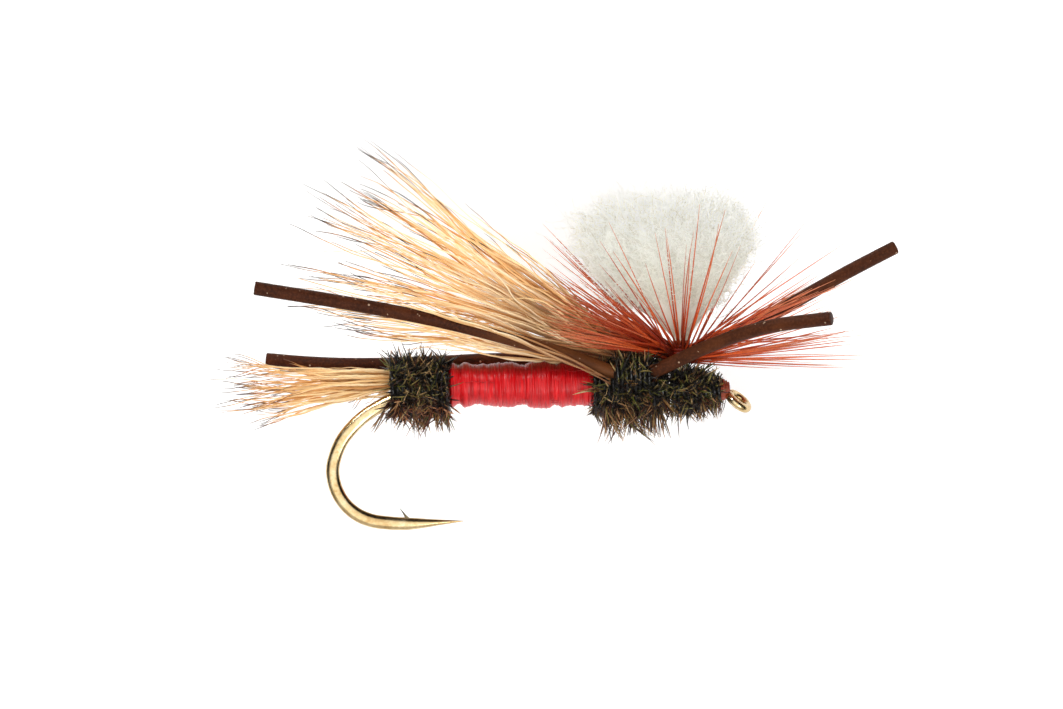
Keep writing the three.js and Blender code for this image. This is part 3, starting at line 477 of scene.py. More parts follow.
def floss_material():
    m = Mat("red_floss", Roughness=0.33)
    ax, an = m.attr("ax"), m.attr("ang")
    line = m.noise(m.xyz(m.math("MULTIPLY", ax, 9.0), m.math("MULTIPLY", an, 0.7)), 1.0, 4.0, 0.65)
    fine = m.noise(m.xyz(m.math("MULTIPLY", ax, 34.0), m.math("MULTIPLY", an, 1.8)), 1.0, 3.0)
    col = m.ramp(line, [(0.3, srgb(140, 4, 12)), (0.46, srgb(194, 8, 16)), (0.58, srgb(216, 16, 24)), (0.7, srgb(238, 44, 42))])
    col = m.mix(m.mapr(fine, 0.35, 0.7, 0.0, 0.5), col, srgb(186, 8, 16))
    # painted shade: the turns are darker along the top, standing in for the shadow of the hair and legs above
    col = m.mix(m.mapr(m.math("SINE", an), 0.3, 0.95, 0.0, 0.62), col, srgb(92, 3, 8))
    m.set("Base Color", col)
    m.set("Roughness", m.mapr(fine, 0.3, 0.7, 0.22, 0.42))
    m.set("Specular IOR Level", 0.4)
    h = m.math("ADD", line, m.math("MULTIPLY", fine, 0.6))
    m.bump(h, 0.7, 2.6e-5)
    return m.m


def thread_material(name, dark, mid, light):
    m = Mat(name, Roughness=0.45)
    t, r = m.attr("t"), m.attr("rnd")
    n = m.noise(m.xyz(m.math("MULTIPLY", t, 900.0), m.math("MULTIPLY", r, 9.0)), 1.0, 3.0)
    col = m.ramp(n, [(0.28, dark), (0.5, mid), (0.75, light)])
    m.set("Base Color", col)
    m.set("Roughness", m.mapr(n, 0.3, 0.7, 0.34, 0.6))
    m.set("Coat Weight", 0.2)
    m.bump(n, 0.4, 1.2e-5)
    return m.m


def yarn_material(name, spread, glow):
    m = Mat(name, Roughness=0.75)
    t, r = m.attr("t"), m.attr("rnd")
    # painted shade: the yarn is darker towards the base of the post, where t is low
    col = m.ramp(t, [(0.0, srgb(212, 198, 174)), (0.22, srgb(230, 226, 212)), (0.6, srgb(240, 240, 232)), (1.0, srgb(248, 248, 245))])
    n = m.noise(m.coords(2600, 2600, 900), 1.0, 4.0)
    col = m.mix(m.mapr(n, 0.3, 0.75, 0.0, spread), col, srgb(198, 196, 180))
    # some fibres are duller than others
    col = m.mix(m.mapr(r, 0.72, 0.95, 0.0, 0.6), col, srgb(188, 180, 160))
    m.set("Base Color", col)
    # painted glow: the yarn emits light in its own colour, standing in for light scattered through the fibres
    m.set("Emission Color", col)
    m.set("Emission Strength", glow)
    m.set("Sheen Weight", 0.15)
    m.set("Roughness", m.mapr(n, 0.3, 0.7, 0.62, 0.85))
    m.bump(m.noise(m.coords(14000, 14000, 4000), 1.0, 3.0), 0.35, 4e-5)
    return m.m


def rubber_material():
    m = Mat("brown_rubber", Roughness=0.5)
    big = m.noise(m.coords(900, 900, 900), 1.0, 3.0)
    fine = m.noise(m.coords(9000, 9000, 9000), 1.0, 4.0, 0.65)
    col = m.ramp(big, [(0.3, srgb(46, 18, 4)), (0.55, srgb(62, 27, 7)), (0.75, srgb(78, 37, 12))])
    col = m.mix(m.mapr(fine, 0.44, 0.64, 0.0, 0.6), col, srgb(92, 48, 26))
    # painted sheen: the rubber is mixed towards a paler brown, standing in for light on the leg; the near strand is
    # lighter near the rear leg's root than on its front leg
    sheen_rubber = m.ramp(big, [(0.3, srgb(84, 46, 20)), (0.55, srgb(100, 58, 28)), (0.75, srgb(116, 72, 38))])
    col = m.mix(m.attr("lift"), col, sheen_rubber)
    v = m.node("ShaderNodeTexVoronoi")
    m.put(v.inputs["Vector"], m.coords(2900, 2900, 2900))
    v.inputs["Scale"].default_value = 1.0
    speck = m.mapr(v.outputs["Distance"], 0.09, 0.17, 1.0, 0.0)
    some = m.math("GREATER_THAN", m.noise(m.coords(2900, 2900, 2900), 0.5, 1.0), 0.53)
    col = m.mix(m.math("MULTIPLY", m.math("MULTIPLY", speck, some), 0.85), col, srgb(196, 164, 136))
    m.set("Base Color", col)
    m.set("Roughness", m.mapr(fine, 0.3, 0.7, 0.42, 0.66))
    m.set("Specular IOR Level", 0.12)
    m.bump(m.math("ADD", fine, m.math("MULTIPLY", speck, 0.6)), 0.35, 2.2e-5)
    return m.m


def gold_material():
    m = Mat("gold_wire", Metallic=1.0, Roughness=0.2)
    big = m.noise(m.coords(1500, 1500, 1500), 1.0, 5.0, 0.6)
    ax = m.attr("t")
    drawn = m.noise(m.xyz(m.math("MULTIPLY", ax, 40.0), m.math("MULTIPLY", m.attr("ang"), 9.0)), 1.0, 4.0)
    col = m.ramp(big, [(0.3, srgb(180, 146, 96)), (0.48, srgb(206, 180, 134)), (0.7, srgb(224, 204, 164))])
    col = m.mix(m.mapr(drawn, 0.5, 0.8, 0.0, 0.55), col, srgb(204, 168, 106))
    mottle = m.noise(m.coords(5200, 5200, 5200), 1.0, 3.0)
    col = m.mix(m.mapr(mottle, 0.54, 0.66, 0.0, 0.5), col, srgb(186, 150, 92))
    m.set("Base Color", col)
    m.set("Roughness", m.mapr(m.math("ADD", big, drawn), 0.7, 1.3, 0.1, 0.3))
    m.bump(m.math("ADD", m.math("MULTIPLY", big, 0.8), drawn), 0.16, 1.6e-5)
    return m.m


HACKLE_MAT, HERL_MAT, FLOSS_MAT = hackle_material(), herl_material(), floss_material()
RUST = thread_material("rust_thread", srgb(88, 28, 14), srgb(146, 56, 30), srgb(204, 104, 66))
DARK = thread_material("dark_thread", srgb(16, 8, 6), srgb(40, 20, 13), srgb(84, 48, 34))
YARN_MAT, FIBRE_MAT = yarn_material("post_yarn", 0.5, 0.06), yarn_material("post_fibres", 0.25, 0.19)
RUBBER_MAT, GOLD_MAT = rubber_material(), gold_material()

# ---------------------------------------------------------------- hook
WIRE = np.array([
    [-1.0, 0.0, 0.21, 0.21, 0], [-1.6, 0.0, 0.25, 0.25, 0], [-2.4, 0.0, 0.29, 0.29, 0], [-8.0, 0.0, 0.29, 0.29, 0],
    [-13.9, 0.0, 0.29, 0.29, 0], [-14.8, -0.07, 0.29, 0.29, 0], [-15.5, -0.27, 0.295, 0.28, 0.2], [-16.1, -0.57, 0.3, 0.25, 0.6],
    [-16.83, -1.03, 0.305, 0.22, 1], [-17.42, -1.56, 0.31, 0.22, 1], [-17.87, -2.12, 0.31, 0.22, 1], [-18.17, -2.75, 0.31, 0.22, 1],
    [-18.33, -3.45, 0.31, 0.22, 1], [-18.24, -4.2, 0.31, 0.22, 1], [-17.85, -4.97, 0.31, 0.22, 1], [-17.28, -5.5, 0.315, 0.22, 1],
    [-16.6, -5.8, 0.315, 0.22, 1], [-15.75, -5.92, 0.31, 0.22, 1], [-15.05, -5.95, 0.29, 0.215, 0.7], [-14.5, -5.94, 0.25, 0.2, 0.3],
    [-13.9, -5.91, 0.18, 0.16, 0], [-13.2, -5.87, 0.1, 0.1, 0], [-12.42, -5.83, 0.012, 0.012, 0]])
EYE_R, EYE_WIRE, DROP, ROLL = 0.5, 0.2, math.radians(39), math.radians(18)


def hook_path():
    """eye ring, closing against the shank, then the shank, bend and point; x, y, z, a, b, forged"""
    e1 = np.array([math.cos(DROP), 0, -math.sin(DROP)])
    nrm = np.array([-math.sin(DROP), 0, -math.cos(DROP)])
    e2 = np.array([0, -1, 0]) * math.cos(ROLL) + nrm * math.sin(ROLL)
    c = np.array([-0.45, 0, -0.08]) + EYE_R * e1
    rows = []
    for q in np.linspace(math.radians(168), math.radians(-158), 40):  # runs from the cut end round to the shank
        p = c + EYE_R * (math.cos(q) * e1 + math.sin(q) * -e2)
        end = np.clip((math.radians(168) - q) / 0.35, 0, 1)
        w = EYE_WIRE * (0.8 + 0.2 * end)
        rows.append([*p, w, w, 0])
    rows.append([-0.72, 0.02, -0.03, 0.2, 0.2, 0])
    for x, z, a, b, f in WIRE:
        rows.append([x, 0, z, a, b, f])
    return np.array(rows)


def hook():
    rows = hook_path()
    n = 560
    pts, length = catmull(rows, n)
    P, a, b, f = pts[:, :3], pts[:, 3], pts[:, 4], np.clip(pts[:, 5], 0, 1)
    T = unit(np.gradient(P, axis=0))
    # the forged flats face +Y and -Y, so the section is carried with Y as its reference along the bend
    side = np.zeros_like(P)
    yv = np.array([0.0, 1.0, 0.0])
    s0 = unit(np.cross(T, yv))
    cur = s0[-1]
    k = 28
    nrm = np.zeros_like(P)
    n0 = np.array([0, 1.0, 0])
    for i in range(n - 1, -1, -1):
        n0 = unit(n0 - T[i] * np.dot(n0, T[i]))
        nrm[i] = n0
    side = np.cross(T, nrm)
    q = (np.arange(k) + 0.5) / k * 2 * math.pi
    c, s = np.cos(q), np.sin(q)
    # forged section: two flats with tight rounded shoulders
    pw = 2.0 + 0.4 * f[:, None]
    ca = np.sign(c) * np.abs(c) ** (2 / pw)
    sa = np.sign(s) * np.abs(s) ** (2 / pw)
    flatc = 1.0 + 0.0 * f[:, None]
    V = P[:, None] + (a[:, None] * ca * flatc)[..., None] * side[:, None] + (b[:, None] * np.clip(sa * 1.0, -1, 1))[..., None] * nrm[:, None]
    # the swept wire is set to its CAD node's box
    own_lo, own_hi = V.reshape(-1, 3).min(0), V.reshape(-1, 3).max(0)
    box_lo, box_hi = node_box("hook")
    scale = (box_hi - box_lo) / (own_hi - own_lo)
    print("hook to its box, scale", np.round(scale, 4))

    def to_box(p):
        return box_lo + (np.asarray(p, float) - own_lo) * scale

    V, P = to_box(V), to_box(P)
    idx = np.arange(n * k).reshape(n, k)
    nx = np.roll(idx, -1, 1)
    quads = np.stack([idx[:-1], nx[:-1], nx[1:], idx[1:]], -1).reshape(-1, 4)
    u0, u1 = np.arange(k) / k, (np.arange(k) + 1) / k
    tv = np.linspace(0, 1, n)
    sh = (n - 1, k)
    uvq = np.stack([
        np.stack([np.broadcast_to(u0, sh), np.broadcast_to(tv[:-1, None], sh)], -1),
        np.stack([np.broadcast_to(u1, sh), np.broadcast_to(tv[:-1, None], sh)], -1),
        np.stack([np.broadcast_to(u1, sh), np.broadcast_to(tv[1:, None], sh)], -1),
        np.stack([np.broadcast_to(u0, sh), np.broadcast_to(tv[1:, None], sh)], -1)], -2)
    cap0, cap1 = idx[0, ::-1][None], idx[-1][None]
    cu = np.stack([0.5 + 0.01 * c, np.full(k, 0.001)], -1)[None]
    faces = [quads, cap0, cap1]
    uvs = [uvq.reshape(-1, 2), cu.reshape(-1, 2), cu.reshape(-1, 2)]
    A = {"t": np.repeat(tv * length, k), "ang": np.tile(q, n)}
    o = build("hook_wire", V.reshape(-1, 3), faces, uvs, A, GOLD_MAT)
    # make sure that the skin faces out, then raise the barb out of the spear
    bm = bmesh.new()
    bm.from_mesh(o.data)
    bmesh.ops.recalc_face_normals(bm, faces=bm.faces)
    bm.to_mesh(o.data)
    bm.free()
    sec = [(-14.50, -5.86, 0.10), (-14.80, -5.745, 0.115), (-15.02, -5.56, 0.1), (-15.22, -5.335, 0.055), (-15.33, -5.215, 0.014)]
    low = [(-14.62, -5.98), (-14.92, -5.92), (-15.05, -5.74), (-15.2, -5.43), (-15.335, -5.225)]
    rings = []
    for (x, z, w), (xl, zl) in zip(sec, low):
        rings.append([(xl, -w, zl), (xl, w, zl), (x, w * 0.55, z), (x, -w * 0.55, z)])
    bw = bpy.data.meshes.new("barb_tmp")
    bm = bmesh.new()
    vs = [[bm.verts.new(Vector(W(to_box(p)))) for p in r] for r in rings]
    for r0, r1 in zip(vs, vs[1:]):
        for j in range(4):
            bm.faces.new((r0[j], r0[(j + 1) % 4], r1[(j + 1) % 4], r1[j]))
    bm.faces.new(vs[0][::-1])
    bm.faces.new(vs[-1])
    bmesh.ops.recalc_face_normals(bm, faces=bm.faces)
    bm.to_mesh(bw)
    bm.free()
    barb = bpy.data.objects.new("barb_tmp", bw)
    bpy.context.scene.collection.objects.link(barb)
    mod = o.modifiers.new("barb", "BOOLEAN")
    mod.operation, mod.object, mod.solver = "UNION", barb, "EXACT"
    dg = bpy.context.evaluated_depsgraph_get()
    done = bpy.data.meshes.new_from_object(o.evaluated_get(dg), preserve_all_data_layers=True, depsgraph=dg)
    o.modifiers.remove(mod)
    if len(done.polygons) > 1000:
        o.data = done
    bpy.data.objects.remove(barb)
    while len(o.data.materials) > 1:
        o.data.materials.pop()
    o.data.polygons.foreach_set("use_smooth", np.ones(len(o.data.polygons), bool))
    o.data.set_sharp_from_angle(angle=math.radians(38))
    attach(o, "root")
    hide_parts("hook")
    return P


HOOK_LINE = hook()


# ---------------------------------------------------------------- wound thread
def coil_points(x0, x1, turns, radius, zc, per=28, phase=0.0, wob=0.0, seed=3):
    """a helix about the X axis, with radius a function of x"""
    n = int(turns * per) + 1
    g = np.random.default_rng(seed)
    q = np.linspace(0, turns * 2 * math.pi, n) + phase
    x = np.linspace(x0, x1, n) + wob * np.interp(np.arange(n), np.arange(0, n + per, per), g.normal(size=len(np.arange(0, n + per, per))))
    r = np.array([radius(v) for v in x])
    return np.stack([x, r * np.cos(q), zc + r * np.sin(q)], -1)


def coil(name, mat, layers, replaces, thread=0.045, sides=6):
    parts = []
    for i, (x0, x1, turns, radius, zc) in enumerate(layers):
        P = coil_points(x0, x1, turns, radius if callable(radius) else (lambda v, r=radius: r), zc, phase=i * 1.3, wob=0.012, seed=i + 4)
        parts.append(strand_parts(P[None], np.full((1, len(P)), thread), sides, attrs={"rnd": np.array([0.3 + 0.2 * i])}, ref=np.array([[1.0, 0, 0]])))
    return strands(name, mat, parts, replaces=replaces)


def sleeve(node):
    """a wound node's x range, radius and the height of its middle"""
    lo, hi = node_box(node)
    return lo[0], hi[0], (hi[1] - lo[1]) / 2, (lo[2] + hi[2]) / 2


xa, xb, R, zc = sleeve("thread_base")
coil("thread_underwrap", DARK, [(xa, xb - 0.04, 110, R - 0.07, zc)], ("thread_base",), 0.062)
xa, xb, R, zc = sleeve("tail_lashing")
coil("tail_wraps", DARK, [(xa + 0.03, xb, 9, R - 0.05, zc), (xb, xa + 0.08, 8, R + 0.03, zc)], ("tail_lashing",), 0.05)
xa, xb, R, zc = sleeve("wing_lashing")
coil("wing_wraps", DARK, [(xa, xb, 11, R - 0.1, zc), (xb, xa + 0.1, 10, R - 0.03, zc)], ("wing_lashing",), 0.05)
xa, xb, R, zc = sleeve("head_thread")


def head_radius(x):
    return R * (0.42 + 0.3 * smooth(xb, xa + 0.3, x))


coil("head_wraps", RUST, [
    (xa, xb, 11, head_radius, zc + 0.03), (xb - 0.03, xa + 0.05, 8, lambda x: head_radius(x) + 0.05, zc + 0.05),
    (xa + 0.25, xb - 0.06, 4, lambda x: head_radius(x) + 0.09, zc + 0.07)], ("head_thread",), 0.048)

POST_LO, POST_HI = node_box("post_lashing")
POST_X, POST_WRAP_R = (POST_LO[0] + POST_HI[0]) / 2, (POST_HI[0] - POST_LO[0]) / 2


def post_wraps():
    per, parts = 26, []
    top, low = POST_HI[2] - 0.12, POST_LO[2] + 0.03
    for i, (za, zb, turns, r) in enumerate([(low, top, 12, POST_WRAP_R - 0.1), (top, low, 10, POST_WRAP_R - 0.05)]):
        n = turns * per + 1
        q = np.linspace(0, turns * 2 * math.pi, n)
        z = np.linspace(za, zb, n)
        P = np.stack([POST_X + r * np.cos(q), r * np.sin(q), z], -1)
        parts.append(strand_parts(P[None], np.full((1, n), 0.045), 6, attrs={"rnd": np.array([0.4])}, ref=np.array([[0, 0, 1.0]])))
    strands("post_wraps", RUST, parts, replaces=("post_lashing",))


post_wraps()

HELD_LO, HELD_HI = node_box("near_strand_held")
JOINT = {j["name"]: j for j in frame["joints"]}


def pivot(name):
    p = np.array(JOINT[name]["pos_m"])
    return (p - _O) / MM


LEG_R = 0.31
S_Y, S_Z = -(HELD_LO[1] + HELD_HI[1]) / 2, (HELD_LO[2] + HELD_HI[2]) / 2
FLOSS_LO, FLOSS_HI = node_box("floss_band")
WING_WRAP = sleeve("wing_lashing")


def hull(points):
    pts = sorted(map(tuple, points))

    def half(seq):
        h = []
        for p in seq:
            while len(h) > 1 and (h[-1][0] - h[-2][0]) * (p[1] - h[-2][1]) - (h[-1][1] - h[-2][1]) * (p[0] - h[-2][0]) <= 1e-12:
                h.pop()
            h.append(p)
        return h[:-1]

    return np.array(half(pts) + half(pts[::-1]))


def leg_wraps():
    parts = []
    xa, xb = node_box("leg_lashing")[0][0], node_box("leg_lashing")[1][0]
    for i, (x0, x1, turns, grow) in enumerate([(xa - 0.05, xb + 0.05, 5, 0.05), (xb, xa, 4, 0.13)]):
        ring = []
        for y, z, r in [(-S_Y, S_Z, LEG_R), (S_Y, S_Z, LEG_R), (0, WING_WRAP[3], WING_WRAP[2])]:
            a = np.linspace(0, 2 * math.pi, 40, endpoint=False)
            ring.append(np.stack([y + (r + grow) * np.cos(a), z + (r + grow) * np.sin(a)], -1))
        h = hull(np.concatenate(ring))
        h = np.vstack([h, h[:1]])
        s = np.concatenate([[0], np.cumsum(np.linalg.norm(np.diff(h, axis=0), axis=1))]) 
        per = 60
        n = turns * per + 1
        w = (np.arange(n) / per) % 1.0 * s[-1]
        yy, zz = np.interp(w, s, h[:, 0]), np.interp(w, s, h[:, 1])
        P = np.stack([np.linspace(x0, x1, n), yy, zz], -1)
        parts.append(strand_parts(P[None], np.full((1, n), 0.045), 6, attrs={"rnd": np.array([0.5])}, ref=np.array([[1.0, 0, 0]])))
    strands("leg_wraps", DARK, parts, replaces=("leg_lashing",))


leg_wraps()

# ---------------------------------------------------------------- rubber legs
def leg_tube(P, cut, lift):
    """a rubber strand with one end cut flat, its edge very slightly rounded"""
    n = len(P)
    R = np.full(n, LEG_R)
    if cut:
        d = np.linalg.norm(P - P[-1], axis=1)
        R = np.where(d < 0.05, LEG_R - 0.035 * (1 - d / 0.05) ** 2, LEG_R)
    V, F, U, A = strand_parts(P[None], R[None], 24, attrs={"rnd": np.array([0.5]), "lift": lift[None]}, ref=np.array([[0, 0, 1.0]]))
    return V, F, U, A


def legs():
    lines = {}
    for name in ("near_rear", "far_rear", "near_front", "far_front"):
        s = -1 if name.startswith("near") else 1
        start, mid = pivot(name + "_leg_bend"), pivot(name + "_leg_curl")
        a = rings(name + "_leg_root", start, mid)
        far_end = mid + 1.0 * (mid - a[-2]) / np.linalg.norm(mid - a[-2])
        b = rings(name + "_leg_tip", mid, far_end)
        pts = [start] + [q for q in a if min(np.linalg.norm(q - start), np.linalg.norm(q - mid)) > 0.3] + [mid] + [q for q in b if np.linalg.norm(q - mid) > 0.3]
        curve, L = catmull(pts, 200)
        print(name, "rings", len(a), len(b), "length", round(L, 2))
        i_mid = int(np.argmin(np.linalg.norm(curve - mid, axis=1)))
        i_cut = i_mid // 2
        hold = np.array([(HELD_LO[0] + HELD_HI[0]) / 2, s * (S_Y - 0.02), S_Z - 0.02])
        root_pts = np.vstack([hold, curve[:: max(1, i_cut // 14)][: 40]])
        head = np.linspace(hold, curve[0], 8, endpoint=False)
        A = np.vstack([head, curve[: i_cut + 1]])
        B = curve[i_cut:]
        d = B[-1] - B[-2]
        d = d / np.linalg.norm(d)
        B = np.vstack([B[:-1], B[-1] - d * 0.045, B[-1] - d * 0.02, B[-1] - d * 0.006, B[-1]])
        # how far the last stations lie along the strand's end direction; the result is not used
        along = (B - B[0]) @ d
        # painted sheen along each leg: strongest near the near rear leg's root and fading along it, faint on the front
        # legs, none on the far rear
        lift = {"near_rear": lambda p: 0.75 * (1 - smooth(1.5, 7.5, p)), "far_rear": lambda p: 0 * p, "near_front": lambda p: 0.08 + 0 * p, "far_front": lambda p: 0.12 + 0 * p}[name]
        fA = lift(np.linalg.norm(A - curve[0], axis=1))
        fB = lift(np.linalg.norm(B - curve[0], axis=1))
        root_piece = strands(name + "_leg_strand", RUBBER_MAT, leg_tube(A, False, fA), body=None)
        tip_piece = strands(name + "_leg_end", RUBBER_MAT, leg_tube(B, True, fB), body=None)
        # cut faces stay flat with a crisp edge
        for o in (root_piece, tip_piece):
            me = o.data
            for p in me.polygons:
                if len(p.vertices) > 4:
                    p.use_smooth = False
            me.set_sharp_from_angle(angle=math.radians(50))
        pr, pc = pivot(name + "_leg_bend"), mid
        t0 = unit(curve[6] - curve[0])
        tc = unit(curve[i_mid + 4] - curve[i_mid - 4])
        tuple(W(pr - 0.35 * t0))
        tuple(W(pr + 0.75 * t0))
        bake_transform(root_piece)
        tuple(W(pc - 1.1 * tc))
        tuple(W(pc + 1.1 * tc))
        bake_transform(tip_piece)
        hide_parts(name + "_leg_root", ("near" if s < 0 else "far") + "_strand_held")
        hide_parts(name + "_leg_tip")
        lines[name] = curve
    return lines


LEG_LINES = legs()


def rotate(p, about, axis, deg):
    q = math.radians(deg)
    k = np.asarray(axis, float)
    v = p - about
    return about + v * math.cos(q) + np.cross(k, v) * math.sin(q) + k * (v @ k)[..., None] * (1 - math.cos(q))


def swept():
    """points the legs pass through over their whole travel, for the soft pieces to leave room for"""
    pts = []
    for name, curve in LEG_LINES.items():
        j, jc = JOINT[name + "_leg_bend"], JOINT[name + "_leg_curl"]
        c = curve[::4]
        mid = pivot(name + "_leg_curl")
        far = np.arange(len(curve))[::4] > int(np.argmin(np.linalg.norm(curve - mid, axis=1)))
        for d in np.linspace(j["range_deg"][0], j["range_deg"][1], 15):
            p = c.copy()
            p[far] = rotate(p[far], mid, jc["axis"], d)
            pts.append(rotate(p, pivot(name + "_leg_bend"), j["axis"], d))
    return np.concatenate(pts)


SWEPT = swept()
REST_LEGS = np.concatenate([c[::2] for c in LEG_LINES.values()])


def clear_of(P, cloud, r, between=1):
    """for each of N paths, whether every point keeps r away from a cloud of points; between adds points to each span"""
    if between > 1:
        k = np.linspace(0, 1, between, endpoint=False)[None, None, :, None]
        P = np.concatenate([(P[:, :-1, None] * (1 - k) + P[:, 1:, None] * k).reshape(len(P), -1, 3), P[:, -1:]], 1)
    N, S = P.shape[:2]
    ok = np.ones(N, bool)
    for i in range(0, N, 64):
        q = P[i : i + 64].reshape(-1, 1, 3)
        d2 = np.min(np.sum((q - cloud[None]) ** 2, -1), 1).reshape(-1, S)
        ok[i : i + 64] = np.all(d2 > r * r, 1)
    return ok


# ---------------------------------------------------------------- floss band
def floss():
    nx, k = 760, 96
    fa, fb = FLOSS_LO[0] - 0.1, FLOSS_HI[0] + 0.27
    fz, fr = (FLOSS_LO[2] + FLOSS_HI[2]) / 2, (FLOSS_HI[2] - FLOSS_LO[2]) / 2
    x = np.linspace(fa, fb, nx)
    q = np.arange(k) / k * 2 * math.pi
    X, Q = np.meshgrid(x, q, indexing="ij")
    g = np.random.default_rng(21)
    ctrl = np.linspace(fa - 0.08, fb + 0.05, 26)
    lump = np.interp(x, ctrl, g.normal(size=26))
    lump = np.convolve(np.pad(lump, 12, mode="edge"), np.hanning(25) / np.hanning(25).sum(), "valid")
    low = np.interp(x, ctrl, g.normal(size=26))
    low = np.convolve(np.pad(low, 10, mode="edge"), np.hanning(21) / np.hanning(21).sum(), "valid")
    base = 0.955 * fr + 0.045 * lump + 0.03 * np.cos((x - (fa + fb) / 2) * 0.55)
    ends = smooth(fa, fa + 0.17, x) * (1 - smooth(fb - 0.15, fb, x))
    R = base[:, None] + 0.028 * low[:, None] * np.clip(-np.sin(Q), 0, 1)
    # strands of floss wound side by side, none the same width: relief that runs round as a helix
    gx = np.arange(fa - 1, fb + 1, 0.004)

    def relief(width, seed):
        h = np.random.default_rng(seed).normal(size=len(gx))
        k = np.hanning(max(3, int(width / 0.004) | 1))
        h = np.convolve(h, k / np.sqrt((k ** 2).sum()), "same")
        return h

    U0 = X - 0.125 * Q / (2 * math.pi) + 0.03 * np.sin(Q + 1.0)
    R = R + 0.013 * np.interp(U0, gx, relief(0.16, 5)) + 0.006 * np.interp(U0, gx, relief(0.06, 6)) + 0.008 * np.interp(X + 0.06 * np.cos(Q * 2), gx, relief(0.3, 7))
    R = R * (0.80 + 0.20 * ends[:, None])
    V = np.stack([X, R * np.cos(Q), fz + R * np.sin(Q)], -1).reshape(-1, 3)
    idx = np.arange(nx * k).reshape(nx, k)
    nxt = np.roll(idx, -1, 1)
    quads = np.stack([idx[:-1], idx[1:], nxt[1:], nxt[:-1]], -1).reshape(-1, 4)
    u0, u1, tv = np.arange(k) / k, (np.arange(k) + 1) / k, np.linspace(0.02, 0.98, nx)
    sh = (nx - 1, k)
    uvq = np.stack([
        np.stack([np.broadcast_to(u0, sh), np.broadcast_to(tv[:-1, None], sh)], -1),
        np.stack([np.broadcast_to(u0, sh), np.broadcast_to(tv[1:, None], sh)], -1),
        np.stack([np.broadcast_to(u1, sh), np.broadcast_to(tv[1:, None], sh)], -1),
        np.stack([np.broadcast_to(u1, sh), np.broadcast_to(tv[:-1, None], sh)], -1)], -2).reshape(-1, 2)
    cu = np.stack([0.5 + 0.01 * np.cos(q), np.full(k, 0.01)], -1)
    band = (V, [quads, idx[0][None], idx[-1, ::-1][None]], [uvq, cu, cu], {"ax": X.ravel(), "ang": Q.ravel(), "t": X.ravel()})
    # slack strands of floss lying over the turns
    lines = []
    for i in range(5):
        gg = np.random.default_rng(40 + i)
        xa = gg.uniform(fa + 0.2, fb - 2.5)
        xs = np.linspace(xa, xa + gg.uniform(1.0, 2.4), 60)
        qa = gg.uniform(2.2, 4.2) + np.interp(xs, np.linspace(xs[0], xs[-1], 12), gg.normal(size=12)) * 0.04
        lines.append(np.stack([xs, fr * np.cos(qa), fz + fr * np.sin(qa)], -1))
    P = np.array(lines)
    loose = strand_parts(P, np.full(P.shape[:2], 0.015), 5, attrs={"ax": P[:, :, 0], "ang": np.full(P.shape[:2], 2.5)})
    o = strands("floss_winding", FLOSS_MAT, [band, loose], replaces=("floss_band",))
    bm = bmesh.new()
    bm.from_mesh(o.data)
    bmesh.ops.recalc_face_normals(bm, faces=bm.faces)
    bm.to_mesh(o.data)
    bm.free()


floss()


# ---------------------------------------------------------------- herl
def hull_radius(grow):
    """radius, by angle about the body's middle, of a loop drawn round the body and both held strands"""
    ring = []
    for y, z, r in [(-S_Y, S_Z, LEG_R), (S_Y, S_Z, LEG_R), (0, WING_WRAP[3], WING_WRAP[2])]:
        a = np.linspace(0, 2 * math.pi, 60, endpoint=False)
        ring.append(np.stack([y + (r + grow) * np.cos(a), z + (r + grow) * np.sin(a)], -1))
    h = hull(np.concatenate(ring)) - np.array([0, 0.2])
    ang = np.arctan2(h[:, 1], h[:, 0]) % (2 * math.pi)
    # walk the loop finely so that straight runs are followed too
    hh = np.vstack([h, h[:1]])
    fine = np.concatenate([hh[i] + (hh[i + 1] - hh[i]) * np.linspace(0, 1, 12, endpoint=False)[:, None] for i in range(len(h))])
    a = np.arctan2(fine[:, 1], fine[:, 0]) % (2 * math.pi)
    r = np.linalg.norm(fine, axis=1)
    o = np.argsort(a)
    return lambda q: np.interp(np.asarray(q) % (2 * math.pi), a[o], r[o], period=2 * math.pi)


OVER_STRANDS = hull_radius(0.2)


def body_r(x, q, base):
    """radius of the dressing under the herl: round, but carried over the two rubber strands where they are held"""
    w = smooth(HELD_LO[0] + 0.05, HELD_LO[0] + 0.28, x) * (1 - smooth(HELD_HI[0] - 0.28, HELD_HI[0] - 0.05, x))
    return base * (1 - w) + np.maximum(OVER_STRANDS(q), base) * w


